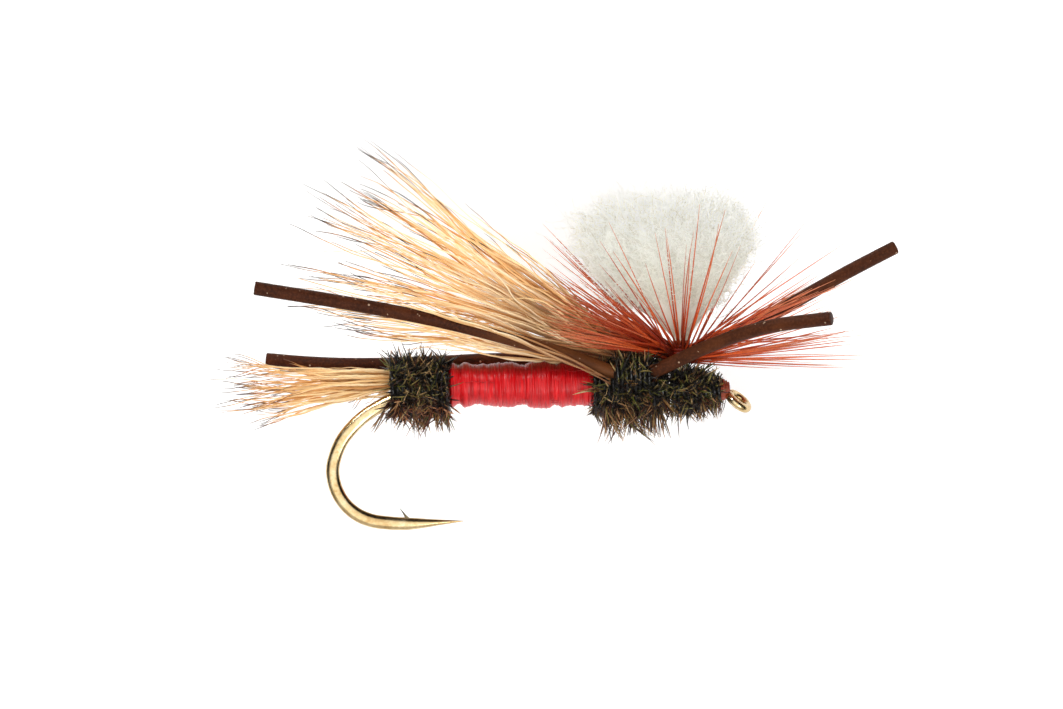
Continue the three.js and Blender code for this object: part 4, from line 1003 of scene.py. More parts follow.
def barbules(name, g, x, q, zc, r0, length, rad, S, tilt, warm, travel=False, curl=0.16, clump=None, rnd=None, over=False):
    n = len(x)
    radial = np.stack([np.zeros(n), np.cos(q), np.sin(q)], -1)
    tang = np.stack([np.zeros(n), -np.sin(q), np.cos(q)], -1)
    foot = np.stack([x, r0 * np.cos(q), zc + r0 * np.sin(q)], -1)
    d = unit(radial + tilt * g.normal(size=(n, 1)) * np.array([[1.0, 0, 0]]) + tilt * g.normal(size=(n, 1)) * tang)
    s = np.linspace(0, 1, S)
    bend = unit(g.normal(size=(n, 3)))
    P = foot[:, None] + d[:, None] * (length[:, None, None] * s[None, :, None]) + bend[:, None] * (curl * length * g.uniform(0.2, 1.6, n))[:, None, None] * (s ** 2)[None, :, None]
    if clump is not None:
        # barbules of one clump draw in towards a shared tip
        ids, pull = clump
        cx = np.array([x[ids == i].mean() if np.any(ids == i) else 0 for i in range(ids.max() + 1)])[ids]
        cq = np.array([np.arctan2(np.sin(q[ids == i]).mean(), np.cos(q[ids == i]).mean()) if np.any(ids == i) else 0 for i in range(ids.max() + 1)])[ids]
        far = r0 + length
        tip = np.stack([cx + 0.3 * (x - cx), far * np.cos(cq + 0.25 * np.angle(np.exp(1j * (q - cq)))), zc + far * np.sin(cq + 0.25 * np.angle(np.exp(1j * (q - cq))))], -1)
        P = P + (tip - P[:, -1])[:, None] * (pull * s[None, :, None] ** 1.3)
    ok = np.ones(n, bool)
    cloud = REST_LEGS
    if travel:
        near = (SWEPT[:, 0] > x.min() - 2.5) & (SWEPT[:, 0] < x.max() + 2.5)
        cloud = SWEPT[near] if near.any() else REST_LEGS
    ok &= clear_of(P[:, 1:], cloud, LEG_R + 0.03, between=2) | (over & (x > HELD_LO[0] + 0.13) & (x < HELD_HI[0] - 0.13))
    taper = np.interp(s, [0, 0.25, 0.7, 1], [0.75, 1, 0.8, 0.16])
    rr = rad[:, None] * taper[None]
    A = {"rnd": g.uniform(0, 1, n) if rnd is None else rnd, "rnd2": g.uniform(0, 1, n), "warm": warm}
    return P[ok], rr[ok], {k: v[ok] for k, v in A.items()}


def herl(name, x0, x1, zc, core, reach, dense, bold, seed, replaces, quill=0.12, pitch=0.22, underlight_gain=1.0, over=False, clumps=(), thin_low=0.0):
    """wound herl: a quill coiled on the body, a dark nap of short barbules, and longer barbules standing out of it"""
    g = np.random.default_rng(seed)
    turns = abs(x1 - x0) / pitch
    n = int(turns * 30) + 1
    qq = np.linspace(0, turns * 2 * math.pi, n)
    xx = np.linspace(x0, x1, n)
    rr = np.array([core(v) for v in xx])
    if over:
        rr = body_r(xx, qq, rr)
    C = np.stack([xx, rr * np.cos(qq), zc + rr * np.sin(qq)], -1)
    parts = [strand_parts(C[None], np.full((1, n), quill), 7, ref=np.array([[1.0, 0, 0]]),
                          attrs={"rnd": np.array([0.12]), "rnd2": np.array([0.2]), "warm": np.array([0.0])}, t=np.full((1, n), 0.12))]
    lo, hi = min(x0, x1), max(x0, x1)

    def place(count, margin=0.0):
        x = g.uniform(lo - margin, hi + margin, count)
        q = g.uniform(0, 2 * math.pi, count)
        c = np.array([core(v) for v in np.clip(x, lo, hi)])
        r0 = body_r(x, q, c) if over else c
        down = np.clip(-np.sin(q), 0, 1)
        return x, q, r0, down

    # nap
    x, q, r0, down = place(dense)
    L = np.array([reach(v) for v in x]) * g.uniform(0.35, 0.75, dense)
    # the nap's lower side takes more of the lit bronze colour: painted underside light
    P, r, A = barbules(name, g, x, q, zc, r0, L, g.uniform(0.02, 0.032, dense), 4, 0.85, np.clip(underlight_gain * smooth(0.3, 1.0, down), 0, 1) * 0.6, rnd=g.uniform(0, 0.62, dense), over=over, travel=not over)
    parts.append(strand_parts(P, r, 3, flat=0.6, attrs=A, seed=seed + 1))
    # standing barbules
    x, q, r0, down = place(bold)
    L = np.array([reach(v) for v in x]) * g.choice([0.6, 0.9, 1.2, 1.65], bold, p=[0.3, 0.35, 0.23, 0.12]) * g.uniform(0.8, 1.15, bold) * (1 - thin_low * down)
    # painted underside light: standing barbules lower on the body take more of the lit bronze colour, with some random
    # spread
    warm = np.clip(underlight_gain * (smooth(0.15, 0.9, down) + 0.2 * g.normal(size=bold)), 0, 1) * (g.uniform(0, 1, bold) < 0.85)
    P, r, A = barbules(name, g, x, q, zc, r0, L, g.uniform(0.03, 0.048, bold), 6, 1.1, warm, curl=0.34, over=over, travel=True)
    parts.append(strand_parts(P, r, 4, flat=0.55, attrs=A, seed=seed + 2))
    # barbules drawn together in points
    for cx, cq, length, members in clumps:
        x = cx + g.normal(0, 0.15, members)
        q = math.radians(cq) + g.normal(0, 0.17, members)
        c = np.array([core(v) for v in np.clip(x, lo, hi)])
        r0 = body_r(x, q, c) if over else c
        L = length * g.uniform(0.72, 1.1, members)
        P, r, A = barbules(name, g, x, q, zc, r0, L, g.uniform(0.028, 0.042, members), 7, 0.25, np.full(members, 0.55) * (g.uniform(0, 1, members) < 0.8),
                           curl=0.2, clump=(np.zeros(members, int), g.uniform(0.3, 0.65)), rnd=g.uniform(0.25, 1, members), over=over, travel=True)
        # each point leans one way along the body
        P[:, :, 0] += g.normal(0, 0.42) * length * np.linspace(0, 1, 7) ** 1.3
        if len(P):
            parts.append(strand_parts(P, r, 4, flat=0.6, attrs=A, seed=seed + 3))
    return strands(name, HERL_MAT, parts, replaces=replaces)


g0 = np.random.default_rng(11)


def points(xa, xb, below, anywhere, length, members):
    """clumps of barbules: some hang below, the rest stand anywhere round the body"""
    out = [(x, a, l, members) for x, a, l in zip(
        np.linspace(xa, xb, below) + g0.uniform(-0.12, 0.12, below), 270 + g0.normal(0, 26, below), length * g0.uniform(0.85, 1.35, below))]
    return out + [(x, a, l, max(6, members - 4)) for x, a, l in zip(
        g0.uniform(xa, xb, anywhere), g0.uniform(0, 360, anywhere), length * g0.uniform(0.55, 0.85, anywhere))]


def tufts(xa, xb, n, length, members):
    """short clumps on both flanks and the top of the stretch between the legs"""
    k = np.random.default_rng(17)
    return [(x, a, l, members) for x, a, l in zip(k.uniform(xa, xb, n), k.uniform(5, 175, n), length * k.uniform(0.7, 1.2, n))]


xa, xb, R, zc = sleeve("rear_herl")
herl("rear_herl_winding", xa + 0.23, xb - 0.04, zc, lambda x, R=R: 0.61 * R, lambda x, R=R: 0.36 * R, 2300, 1450, 51, ("rear_herl",),
     underlight_gain=1.0, clumps=points(xa + 0.15, xb - 0.1, 8, 26, 0.55 * R, 9))
xa, xb, R, zc = sleeve("thorax_herl")
herl("thorax_herl_winding", xa + 0.06, xb + 0.2, zc, lambda x, R=R, b=xb: R * (0.535 - 0.08 * smooth(b - 0.8, b + 0.3, x)), lambda x, R=R, b=xb: R * (0.31 - 0.04 * smooth(b - 0.8, b + 0.3, x)),
     2900, 1600, 61, ("thorax_herl",), quill=0.11, pitch=0.2, underlight_gain=0.45, over=True, clumps=points(xa + 0.1, xb + 0.05, 15, 28, 0.56 * R, 12) + tufts(HELD_LO[0] + 0.36, HELD_HI[0] - 0.36, 26, 0.27 * R, 10), thin_low=0.5)
xa, xb, R, zc = sleeve("head_herl")
herl("head_herl_winding", xa + 0.3, xb + 0.22, zc - 0.05, lambda x, R=R, b=xb: R * (0.85 - 0.42 * smooth(b - 1.5, b + 0.3, x)), lambda x, R=R, b=xb: R * (0.56 - 0.2 * smooth(b - 1.2, b + 0.3, x)),
     1700, 950, 71, ("head_herl",), quill=0.11, pitch=0.2, underlight_gain=0.25, clumps=points(xa + 0.5, xb + 0.25, 7, 20, 0.62 * R, 9))


# ---------------------------------------------------------------- hair
def hair_radius(S, r, tip=0.009):
    s = np.linspace(0, 1, S)
    shape = (0.8 + 0.2 * smooth(0, 0.3, s)) * (1 - smooth(0.4, 0.94, s) * 0.6 - smooth(0.95, 1.0, s) * 0.18)
    return np.maximum(r[:, None] * shape[None], tip)


def bezier(p0, p1, p2, p3, S):
    s = np.linspace(0, 1, S)[None, :, None]
    return (1 - s) ** 3 * p0[:, None] + 3 * (1 - s) ** 2 * s * p1[:, None] + 3 * (1 - s) * s * s * p2[:, None] + s ** 3 * p3[:, None]


def lock(g, root, tip, n, y0, y1, w_mid, w_tip, wave, phase, rad, S=44, short=0.16, sag=0.0, wander=1.0):
    """hairs gathered into one tapering lock from root to tip, each ending a little short of or past it"""
    rt, tp = np.array([root[0], y0, root[1]]), np.array([tip[0], y1, tip[1]])
    d = tp - rt
    L = np.linalg.norm(d)
    d = d / L
    a = unit(np.cross(d, [0, 1.0, 0]))
    b = np.cross(d, a)
    s = np.linspace(0, 1, S)
    wid = np.interp(s, [0, 0.12, 0.5, 0.84, 1.0], [0.5, 0.75, 1.0, 0.52, w_tip / max(w_mid, 1e-6)]) * w_mid
    wid = np.convolve(np.pad(wid, 2, mode="edge"), np.ones(5) / 5, "valid")
    ang = g.uniform(0, 2 * math.pi, n)
    rho = np.sqrt(g.uniform(0, 1, n)) * g.uniform(0.7, 1.15, n)
    drift = g.normal(0, 0.5, n)
    end = 1 - np.abs(g.normal(0, short, n)).clip(0, 0.42)
    end[0] = 1.0
    out = np.zeros((n, S, 3))
    for i in range(n):
        t = s * end[i]
        w = np.interp(t, s, wid)
        qa = ang[i] + drift[i] * t
        off = w[:, None] * rho[i] * (np.cos(qa)[:, None] * a + 1.1 * np.sin(qa)[:, None] * b)
        com = wave * (np.sin(2 * math.pi * (1.35 * t) + phase) - math.sin(phase)) * (0.3 + 0.7 * t)
        f1, f2, f3 = g.uniform(0.9, 1.8), g.uniform(2.2, 3.8), g.uniform(1.2, 2.6)
        own = (0.11 * np.sin(2 * math.pi * (f1 * t + g.uniform())) + 0.035 * np.sin(2 * math.pi * (f2 * t + g.uniform()))) * t * wander
        own2 = 0.08 * np.sin(2 * math.pi * (f3 * t + g.uniform())) * t * wander
        kf = g.uniform(7, 11)
        kink = g.uniform(0.008, 0.022) * np.sin(2 * math.pi * (kf * t + g.uniform())) * smooth(0, 0.15, t) * (1 - 0.6 * t)
        own = own + kink * wander
        flick = g.normal(0, 0.28) * smooth(0.78, 1.0, t / end[i]) * w_tip * 2.2
        rise = sag * 4 * t * (1 - t)
        out[i] = rt + d * (L * t)[:, None] + off + (com + own + flick + rise)[:, None] * a * np.sign(a[2]) + own2[:, None] * b
    return out, np.full(n, rad) * g.uniform(0.8, 1.2, n)


def wing():
    g = np.random.default_rng(105)
    xa, xb, wr, wz = WING_WRAP
    top = wz + wr
    fan = Fan("wing_hair", (xa + 0.6, top - 0.1), below=xa - 0.3)
    a0, a1 = fan.span(0.5)
    print("wing fan", round(math.degrees(a0)), round(math.degrees(a1)), "reach", round(fan.r.max(), 2))
    roots = [(xa + 0.75, top - 0.12), (xa + 0.7, top + 0.08), (xa + 0.6, top - 0.27)]
    P, r = [], []

    tmax = []

    def add(a, part, n, wm, wt, rad, short=0.16, wander=1.25, side=None, dark=None):
        tip, dist = fan.at(a, part)
        y = (g.uniform(-0.85, 0.85) if side is None else side) * fan.width(a, dist)
        q, rr = lock(g, roots[int(g.integers(3))], tip, n, g.uniform(-0.42, 0.42), y, wm, wt, g.uniform(0.1, 0.28) * g.choice([-1, 1]), g.uniform(0, 6.28), rad,
                     short=short, sag=g.normal(0.12, 0.16), wander=wander)
        P.append(q)
        r.append(rr)
        # short hairs are ones whose fine dark tips have broken or been stacked away
        tmax.append(g.uniform(0.93, 1.02, n) if dark is None else np.full(n, dark))

    full = 34
    for i in range(full):  # locks that end at the wing's outline
        a = a0 + (a1 - a0) * (i + g.uniform(0.0, 1.0)) / full
        add(a, g.uniform(0.86, 1.0), int(g.integers(3, 8)), g.uniform(0.26, 0.42), g.uniform(0.14, 0.34), g.uniform(0.036, 0.05))
    for i in range(20):  # shorter locks inside it
        add(g.uniform(a0, a1), g.uniform(0.42, 0.84), int(g.integers(2, 6)), g.uniform(0.26, 0.4), g.uniform(0.2, 0.34), g.uniform(0.04, 0.054), dark=0.8)
    for i in range(12):  # single hairs that stand past their neighbours
        add(a0 - 0.06 + (a1 - a0 + 0.06) * g.uniform(0.0, 1.0) ** 1.6, g.uniform(0.97, 1.03), 1, 0.1, 0.07, g.uniform(0.028, 0.042), dark=1.0)
    for i in range(5):  # stray curling hairs
        add(g.uniform(a0, a1), g.uniform(0.6, 0.9), 1, 0.08, 0.06, g.uniform(0.028, 0.038), wander=4.0, dark=0.84)
    low = fan.a.max()
    for i in range(14):  # hairs that lie low over the floss, between the legs
        add(a1 + (min(low, math.pi * 1.06) - a1) * g.uniform(0.0, 1.0), g.uniform(0.75, 1.0), int(g.integers(1, 4)), 0.3, 0.3, g.uniform(0.03, 0.042), short=0.1, side=g.uniform(-0.5, 0.3), dark=0.9)
    P, r = np.concatenate(P), np.concatenate(r)
    # a few hairs lie outside the near rear leg: they follow its own line, further out than it ever travels
    S = P.shape[1]
    line = LEG_LINES["near_rear"]
    outer = []
    for i in range(5):
        k = np.linspace(0, 1, 7)
        c = line[np.linspace(0, g.integers(110, 178), 7).astype(int)].copy()
        c[:, 1] -= LEG_R + 0.1 + 0.35 * smooth(0, 0.4, k) + g.uniform(0, 0.12)
        c[:, 2] += g.uniform(-0.6, -0.2) * (1 - k) + g.uniform(-0.15, 1.2) * k + g.normal(0, 0.08, 7)
        outer.append(catmull(c, S)[0])
    n_in = len(P)
    P = np.concatenate([P, np.array(outer)])
    r = np.concatenate([r, g.uniform(0.03, 0.046, len(outer))])
    tm = np.concatenate(tmax + [np.full(len(outer), 0.86)])
    near = SWEPT[SWEPT[:, 1] < 0]
    far = SWEPT[SWEPT[:, 1] > 0]
    leave = (clear_of(P[:, 5:], near, LEG_R + 0.05) & clear_of(P[:, 7:], far, LEG_R + 0.05)) | (np.arange(len(P)) >= n_in)
    print("wing hairs", len(P), "kept", int(leave.sum()))
    P, r, tm = P[leave], r[leave], tm[leave]
    N = len(P)
    order = g.permutation(N)
    for i, part in enumerate(np.array_split(order, 2)):
        strands("wing_hair_" + "ab"[i], WING_MAT,
                strand_parts(P[part], hair_radius(S, r[part]), 7, attrs={"rnd": g.uniform(0, 1, len(part)), "rnd2": g.uniform(0, 1, len(part))}, seed=3 + i,
                             t=np.linspace(0, 1, S)[None] * tm[part, None]),
                replaces=("wing_hair",))


def tail():
    g = np.random.default_rng(77)
    xa, xb, tr, tz = sleeve("tail_lashing")
    root = (xa + 0.05, tz + 0.22)
    fan = Fan("tail_hair", root, below=xa - 0.2)
    a0, a1 = fan.span(0.7)
    print("tail fan", round(math.degrees(a0)), round(math.degrees(a1)), "reach", round(fan.r.max(), 2))
    P, r = [], []

    def add(a, part, n, rad, wave, wm=0.24, wt=0.22, short=0.09):
        tip, dist = fan.at(a, part)
        q, rr = lock(g, (root[0], root[1] + g.uniform(-0.22, 0.22)), tip, n, g.uniform(-0.38, 0.38), g.uniform(-0.9, 0.9) * fan.width(a, dist), wm, wt,
                     wave * g.choice([-1, 1]), g.uniform(0, 6.28), rad, S=26, short=short, sag=0.06)
        P.append(q)
        r.append(rr)

    for i in range(15):
        add(a0 - 0.03 + (a1 - a0 + 0.1) * (i + g.uniform(0.0, 1.0)) / 15, g.uniform(0.84, 1.0), int(g.integers(3, 7)), g.uniform(0.034, 0.048), g.uniform(0.03, 0.12), 0.3, 0.36)
    for i in range(7):
        add(g.uniform(a0, a1), g.uniform(0.6, 0.84), int(g.integers(3, 6)), g.uniform(0.042, 0.054), g.uniform(0.03, 0.1))
    for i in range(9):
        add(g.choice([a0, a1 + 0.1]) + g.normal(0, 0.05), g.uniform(0.6, 1.0), 1, 0.032, 0.14, 0.06, 0.06)
    P, r = np.concatenate(P), np.concatenate(r)
    S = P.shape[1]
    # none may run through the hook's wire
    wire = HOOK_LINE[(HOOK_LINE[:, 0] < xa - 0.35) & (HOOK_LINE[:, 2] > -4)]
    keep = clear_of(P[:, 2:], wire, 0.33)
    P, r = P[keep], r[keep]
    n = len(P)
    print("tail hairs", n)
    strands("tail_hair_bundle", TAIL_MAT, strand_parts(P, hair_radius(S, r), 7, attrs={"rnd": g.uniform(0, 1, n), "rnd2": g.uniform(0, 1, n)}, seed=9),
            replaces=("tail_hair",))


wing()
tail()


# ---------------------------------------------------------------- post
YARN_LO, YARN_HI = node_box("post_yarn")


def crown():
    """middle and half widths of the yarn by height, a little inside its CAD solid so that curls can stand on it"""
    stem = POST_HI[2]
    rows = []
    for z in np.linspace(POST_LO[2] - 0.4, YARN_HI[2] - 0.06, 30):
        c = section("post_yarn", 2, z)
        if len(c) < 6:
            continue
        x0, x1, y0, y1 = c[:, 0].min(), c[:, 0].max(), c[:, 1].min(), c[:, 1].max()
        up = smooth(stem, stem + 1.5, z)
        if z < stem:
            x0, x1 = max(x0, POST_X - 0.4), min(x1, POST_X + 0.4)
            y0, y1 = max(y0, -0.4), min(y1, 0.4)
        rows.append([stem + (z - stem) * 0.86 if z > stem else z, (x0 + x1) / 2, (x1 - x0) / 2 * (1 - 0.1 * up), (y1 - y0) / 2 * (1 - 0.13 * up)])
    return np.array(rows)


CROWN = crown()


def post():
    g = np.random.default_rng(301)
    nz, k = 90, 88
    prof, _ = catmull(CROWN, nz)
    q = np.arange(k) / k * 2 * math.pi
    z, xc, a, b = prof.T
    grow = smooth(POST_HI[2] + 0.1, POST_HI[2] + 3.6, z)[:, None]
    # folds of brushed yarn running up from the stem, with tufts on the crown
    Q = np.broadcast_to(q, (nz, k))
    Z = np.broadcast_to(z[:, None], (nz, k))
    fl = np.zeros((nz, k))
    for i in range(12):
        f, p, amp = g.integers(3, 17), g.uniform(0, 6.28), g.uniform(0.3, 1.0)
        drift, wz = g.normal(0, 0.35), g.uniform(0.3, 1.3)
        fl += amp * np.sin(f * Q + p + drift * Z) * (0.55 + 0.45 * np.sin(wz * Z + p * 2))
    fl /= np.abs(fl).max()
    sc = 1 + 0.08 * fl * grow
    bump = np.zeros((nz, k))
    for i in range(10):
        f, wz, p = g.integers(8, 28), g.uniform(3, 9), g.uniform(0, 6.28, 2)
        bump += np.sin(f * Q + p[0]) * np.sin(wz * Z + p[1])
    sc = sc + 0.02 * bump / 3 * grow
    V = np.stack([xc[:, None] + a[:, None] * sc * np.cos(Q), b[:, None] * sc * np.sin(Q), Z + 0.22 * fl * grow * smooth(6.0, 8.5, Z)], -1).reshape(-1, 3)
    idx = np.arange(nz * k).reshape(nz, k)
    nxt = np.roll(idx, -1, 1)
    quads = np.stack([idx[:-1], nxt[:-1], nxt[1:], idx[1:]], -1).reshape(-1, 4)
    u0, u1, tv = np.arange(k) / k, (np.arange(k) + 1) / k, np.linspace(0.01, 0.99, nz)
    sh = (nz - 1, k)
    uvq = np.stack([
        np.stack([np.broadcast_to(u0, sh), np.broadcast_to(tv[:-1, None], sh)], -1),
        np.stack([np.broadcast_to(u1, sh), np.broadcast_to(tv[:-1, None], sh)], -1),
        np.stack([np.broadcast_to(u1, sh), np.broadcast_to(tv[1:, None], sh)], -1),
        np.stack([np.broadcast_to(u0, sh), np.broadcast_to(tv[1:, None], sh)], -1)], -2).reshape(-1, 2)
    cu = np.stack([0.5 + 0.01 * np.cos(q), np.full(k, 0.004)], -1)
    # height up the post, for the painted shade at its base
    tt = np.repeat(smooth(1.5, 8.5, z), k)
    core = (V, [quads, idx[0, ::-1][None], idx[-1][None]], [uvq, cu, cu], {"t": tt, "rnd": np.full(len(tt), 0.5)})
    strands("post_yarn_core", YARN_MAT, core, replaces=("post_yarn",))
    # legs swing past the yarn's flanks: no fibre reaches into their travel
    passing = SWEPT[(np.abs(SWEPT[:, 0] - POST_X) < 6.5) & (SWEPT[:, 2] > POST_HI[2] - 0.5)]
    # long crimped fibres fanned up through the yarn and past its edge
    total, S = 1900, 16
    fan = Fan("post_yarn", (POST_X, POST_HI[2]))
    a0, a1 = fan.span(0.72)
    print("post fan", round(math.degrees(a0)), round(math.degrees(a1)), "reach", round(fan.r.max(), 2))
    u = np.clip(g.normal(0.0, 0.5, total), -1, 1)
    inplane = (a0 + a1) / 2 + (a1 - a0) / 2 * u
    across = np.radians(np.clip(g.normal(0, 11, total), -22, 22))
    base = np.stack([POST_X + g.uniform(-0.24, 0.24, total), g.uniform(-0.22, 0.22, total), np.full(total, POST_HI[2] - 0.05)], -1)
    L = np.array([fan.reach(a) for a in inplane]) * g.beta(9, 1.6, total) * (0.99 + 0.06 * g.normal(size=total))
    L = L * (1 - 0.12 * (np.degrees(across) / 20) ** 2)
    wisp = np.arange(total) >= total - 110
    L = np.where(wisp, np.array([fan.reach(a) for a in inplane]) * np.random.default_rng(31).uniform(0.99, 1.1, total), L)
    d = np.stack([np.cos(inplane) * np.cos(across), np.sin(across), np.sin(inplane) * np.cos(across)], -1)
    s = np.linspace(0, 1, S)
    P = base[:, None] + d[:, None] * (L[:, None] * (0.03 + 0.97 * s))[..., None]
    for amp, freq in ((0.17, 1.2), (0.10, 3.4), (0.05, 6.0)):
        ph = g.uniform(0, 6.28, (total, 3))
        fr = g.uniform(0.7, 1.3, (total, 3)) * freq
        P = P + amp * g.uniform(0.2, 1.3, (total, 1, 3)) * np.sin(2 * math.pi * fr[:, None] * s[None, :, None] + ph[:, None]) * (s ** 0.9)[None, :, None]
    r = np.where(wisp, 0.010, g.uniform(0.011, 0.019, total))[:, None] * (1 - 0.4 * s)[None]
    ok = clear_of(P, passing, LEG_R + 0.1, between=2)
    print("post fibres", total, "kept", int(ok.sum()))
    strands("post_fibres", FIBRE_MAT, strand_parts(P[ok], r[ok], 3, attrs={"rnd": g.uniform(0, 1, total)[ok]}, seed=20), replaces=("post_yarn",))
    # short curls rooted in the core
    for tag, count, seed, reach, S in (("a", 4300, 71, 0.6, 8), ("b", 4300, 72, 0.95, 8), ("c", 1900, 73, 1.6, 14)):
        g = np.random.default_rng(seed)
        t = POST_HI[2] + 0.6 + (CROWN[-1, 0] - POST_HI[2] - 0.6) * np.sqrt(g.uniform(0.02, 1, count))
        q = g.uniform(0, 2 * math.pi, count)
        zz = t
        a = np.interp(zz, CROWN[:, 0], CROWN[:, 2]) * 0.93
        b = np.interp(zz, CROWN[:, 0], CROWN[:, 3]) * 0.93
        xc = np.interp(zz, CROWN[:, 0], CROWN[:, 1])
        foot = np.stack([xc + a * np.cos(q), b * np.sin(q), zz], -1)
        out = unit(np.stack([np.cos(q) / np.maximum(a, 0.5), np.sin(q) / np.maximum(b, 0.5), 0.16 * (zz - 6.2)], -1))
        up = unit(foot - np.array([POST_X, 0, 1.8]))
        d = unit(out * 0.7 + up * 0.9 + g.normal(0, 0.45, (count, 3)))
        side = unit(np.cross(d, g.normal(size=(count, 3))))
        nb = np.cross(d, side)
        Lc = reach * g.uniform(0.5, 1.2, count) * g.choice([0.75, 1.0, 1.45], count, p=[0.45, 0.43, 0.12])
        s = np.linspace(0, 1, S)
        w = g.uniform(0.5, 1.5, count)[:, None]
        ph = g.uniform(0, 6.28, (count, 1))
        rad = (0.24 if tag == "c" else 0.11) * g.uniform(0.4, 1.5, count)[:, None] * np.minimum(s * 3, 1)[None]
        P = foot[:, None] + d[:, None] * (Lc[:, None] * s)[..., None] + (rad * (np.sin(2 * math.pi * w * s + ph) - np.sin(ph)))[..., None] * side[:, None] + (rad * (np.cos(2 * math.pi * w * s + ph) - np.cos(ph)))[..., None] * nb[:, None]
        r = g.uniform(0.011, 0.018, count)[:, None] * (1 - 0.35 * s)[None]
        ok = clear_of(P, passing, LEG_R + 0.1, between=2)
        print("post curls", tag, count, "kept", int(ok.sum()))
        strands("post_curls_" + tag, FIBRE_MAT, strand_parts(P[ok], r[ok], 3, attrs={"rnd": g.uniform(0, 1, count)[ok]}, seed=seed, t=np.repeat(smooth(1.5, 8.5, zz)[:, None], S, 1)[ok]),
                replaces=("post_yarn",))


post()


# ---------------------------------------------------------------- hackle
def hackle():
    g = np.random.default_rng(404)
    lo, hi = node_box("hackle_feather")
    z0, z1, turns, R = lo[2] - 0.1, POST_HI[2] - 0.3, 5, POST_WRAP_R + 0.06
    n = turns * 30 + 1
    q = np.linspace(0, turns * 2 * math.pi, n)
    ring = np.stack([POST_X + R * np.cos(q), R * np.sin(q), np.linspace(z0, z1, n)], -1)
    quill = strand_parts(ring[None], np.full((1, n), 0.07), 8, attrs={"rnd": np.array([0.2])}, ref=np.array([[0, 0, 1.0]]), t=np.full((1, n), 0.1))
    N = 430
    kind = g.uniform(0, 1, N)
    back, front, over = kind < 0.62, (kind >= 0.62) & (kind < 0.77), kind >= 0.96
    az = np.where(back, math.pi + g.normal(0, 0.42, N), np.where(front, g.normal(0, 0.5, N), np.where(over, -math.pi / 2 + g.normal(-0.25, 0.95, N), g.uniform(0, 2 * math.pi, N))))
    el = np.where(back, 2 + 50 * g.beta(1.1, 2.5, N), np.where(front, -4 + 44 * g.beta(1.2, 1.6, N), np.where(over, g.uniform(40, 74, N), 4 + 34 * g.uniform(0, 1, N) ** 1.3)))
    L = g.normal(7.2, 0.75, N)
    L = L * np.where(g.uniform(0, 1, N) < 0.22, g.uniform(0.55, 0.85, N), 1)
    short = back & (g.uniform(0, 1, N) < 0.36)
    L = np.where(short, g.uniform(2.4, 4.6, N), L)
    tone = np.where(short, g.uniform(0, 0.35, N), np.where(front | over, g.uniform(0.35, 1, N), g.uniform(0, 1, N)))
    az = az % (2 * math.pi)
    e = np.radians(el)
    turn = g.integers(0, turns, N)
    zf = z0 + (z1 - z0) * (turn + (az % (2 * math.pi)) / (2 * math.pi)) / turns
    zf = np.where(front & (el < 12), z0 + 0.25 * (zf - z0), zf)
    foot = np.stack([POST_X + R * np.cos(az), R * np.sin(az), zf], -1)
    d = np.stack([np.cos(e) * np.cos(az), np.cos(e) * np.sin(az), np.sin(e)], -1)
    S = 12
    s = np.linspace(0, 1, S)
    # no barb runs out of its CAD node's box
    with np.errstate(divide="ignore", invalid="ignore"):
        room = np.where(d > 1e-6, (hi - foot) / d, np.where(d < -1e-6, (lo - np.array([0, 0, 0.6]) - foot) / d, 99.0)).min(1)
    L = np.minimum(L, room * g.uniform(0.9, 1.02, N))
    side = unit(np.cross(d, g.normal(size=(N, 3))))
    bow = g.normal(0, 0.035, N) * L
    P = foot[:, None] + d[:, None] * (L[:, None] * s)[..., None] + side[:, None] * (4 * bow[:, None] * s * (1 - s) * 0.5 + bow[:, None] * s ** 2 * 0.6)[..., None]
    ok = clear_of(P, SWEPT, LEG_R + 0.1, between=4)
    # barbs don't run through the dressing
    r_body = np.linalg.norm(P[:, 1:, 1:] - np.array([0, 0.2]), axis=2)
    x = P[:, 1:, 0]
    tx, hx, fx = sleeve("thorax_herl"), sleeve("head_herl"), FLOSS_HI[0]
    inside = ((x > tx[0]) & (x < tx[1] + 0.4) & (r_body < 0.73 * tx[2])) | ((x > tx[1] + 0.4) & (x < hx[1] + 0.5) & (r_body < 0.9 * hx[2])) | ((x <= tx[0]) & (r_body < 1.1))
    ok &= ~inside.any(1)
    # nor up the inside of the yarn's core
    zz = P[:, :, 2]
    xc = np.interp(zz, CROWN[:, 0], CROWN[:, 1])
    a = np.interp(zz, CROWN[:, 0], CROWN[:, 2])
    b = np.interp(zz, CROWN[:, 0], CROWN[:, 3])
    incore = (((P[:, :, 0] - xc) / (a * 0.97)) ** 2 + (P[:, :, 1] / (b * 0.97)) ** 2 < 1) & (zz > POST_HI[2] + 0.3) & (zz < CROWN[-1, 0] + 0.3)
    ok &= incore.sum(1) <= 1
    P, L, tone = P[ok], L[ok], tone[ok]
    N = len(P)
    r = g.uniform(0.03, 0.05, N)[:, None] * np.maximum(1 - 0.42 * smooth(0.05, 0.75, s) - 0.42 * smooth(0.75, 1, s), 0.16)[None]
    barbs = strand_parts(P, r, 5, attrs={"rnd": tone, "rnd2": g.uniform(0, 1, N)}, seed=8)
    strands("hackle_barbs", HACKLE_MAT, [quill, barbs], replaces=("hackle_feather",))
    print("hackle barbs", N)


hackle()

# ---------------------------------------------------------------- stage
sc = bpy.context.scene
sc.view_settings.view_transform = "Standard"
sc.view_settings.look = "None"
sc.view_settings.exposure = 0.0
sc.view_settings.gamma = 1.0

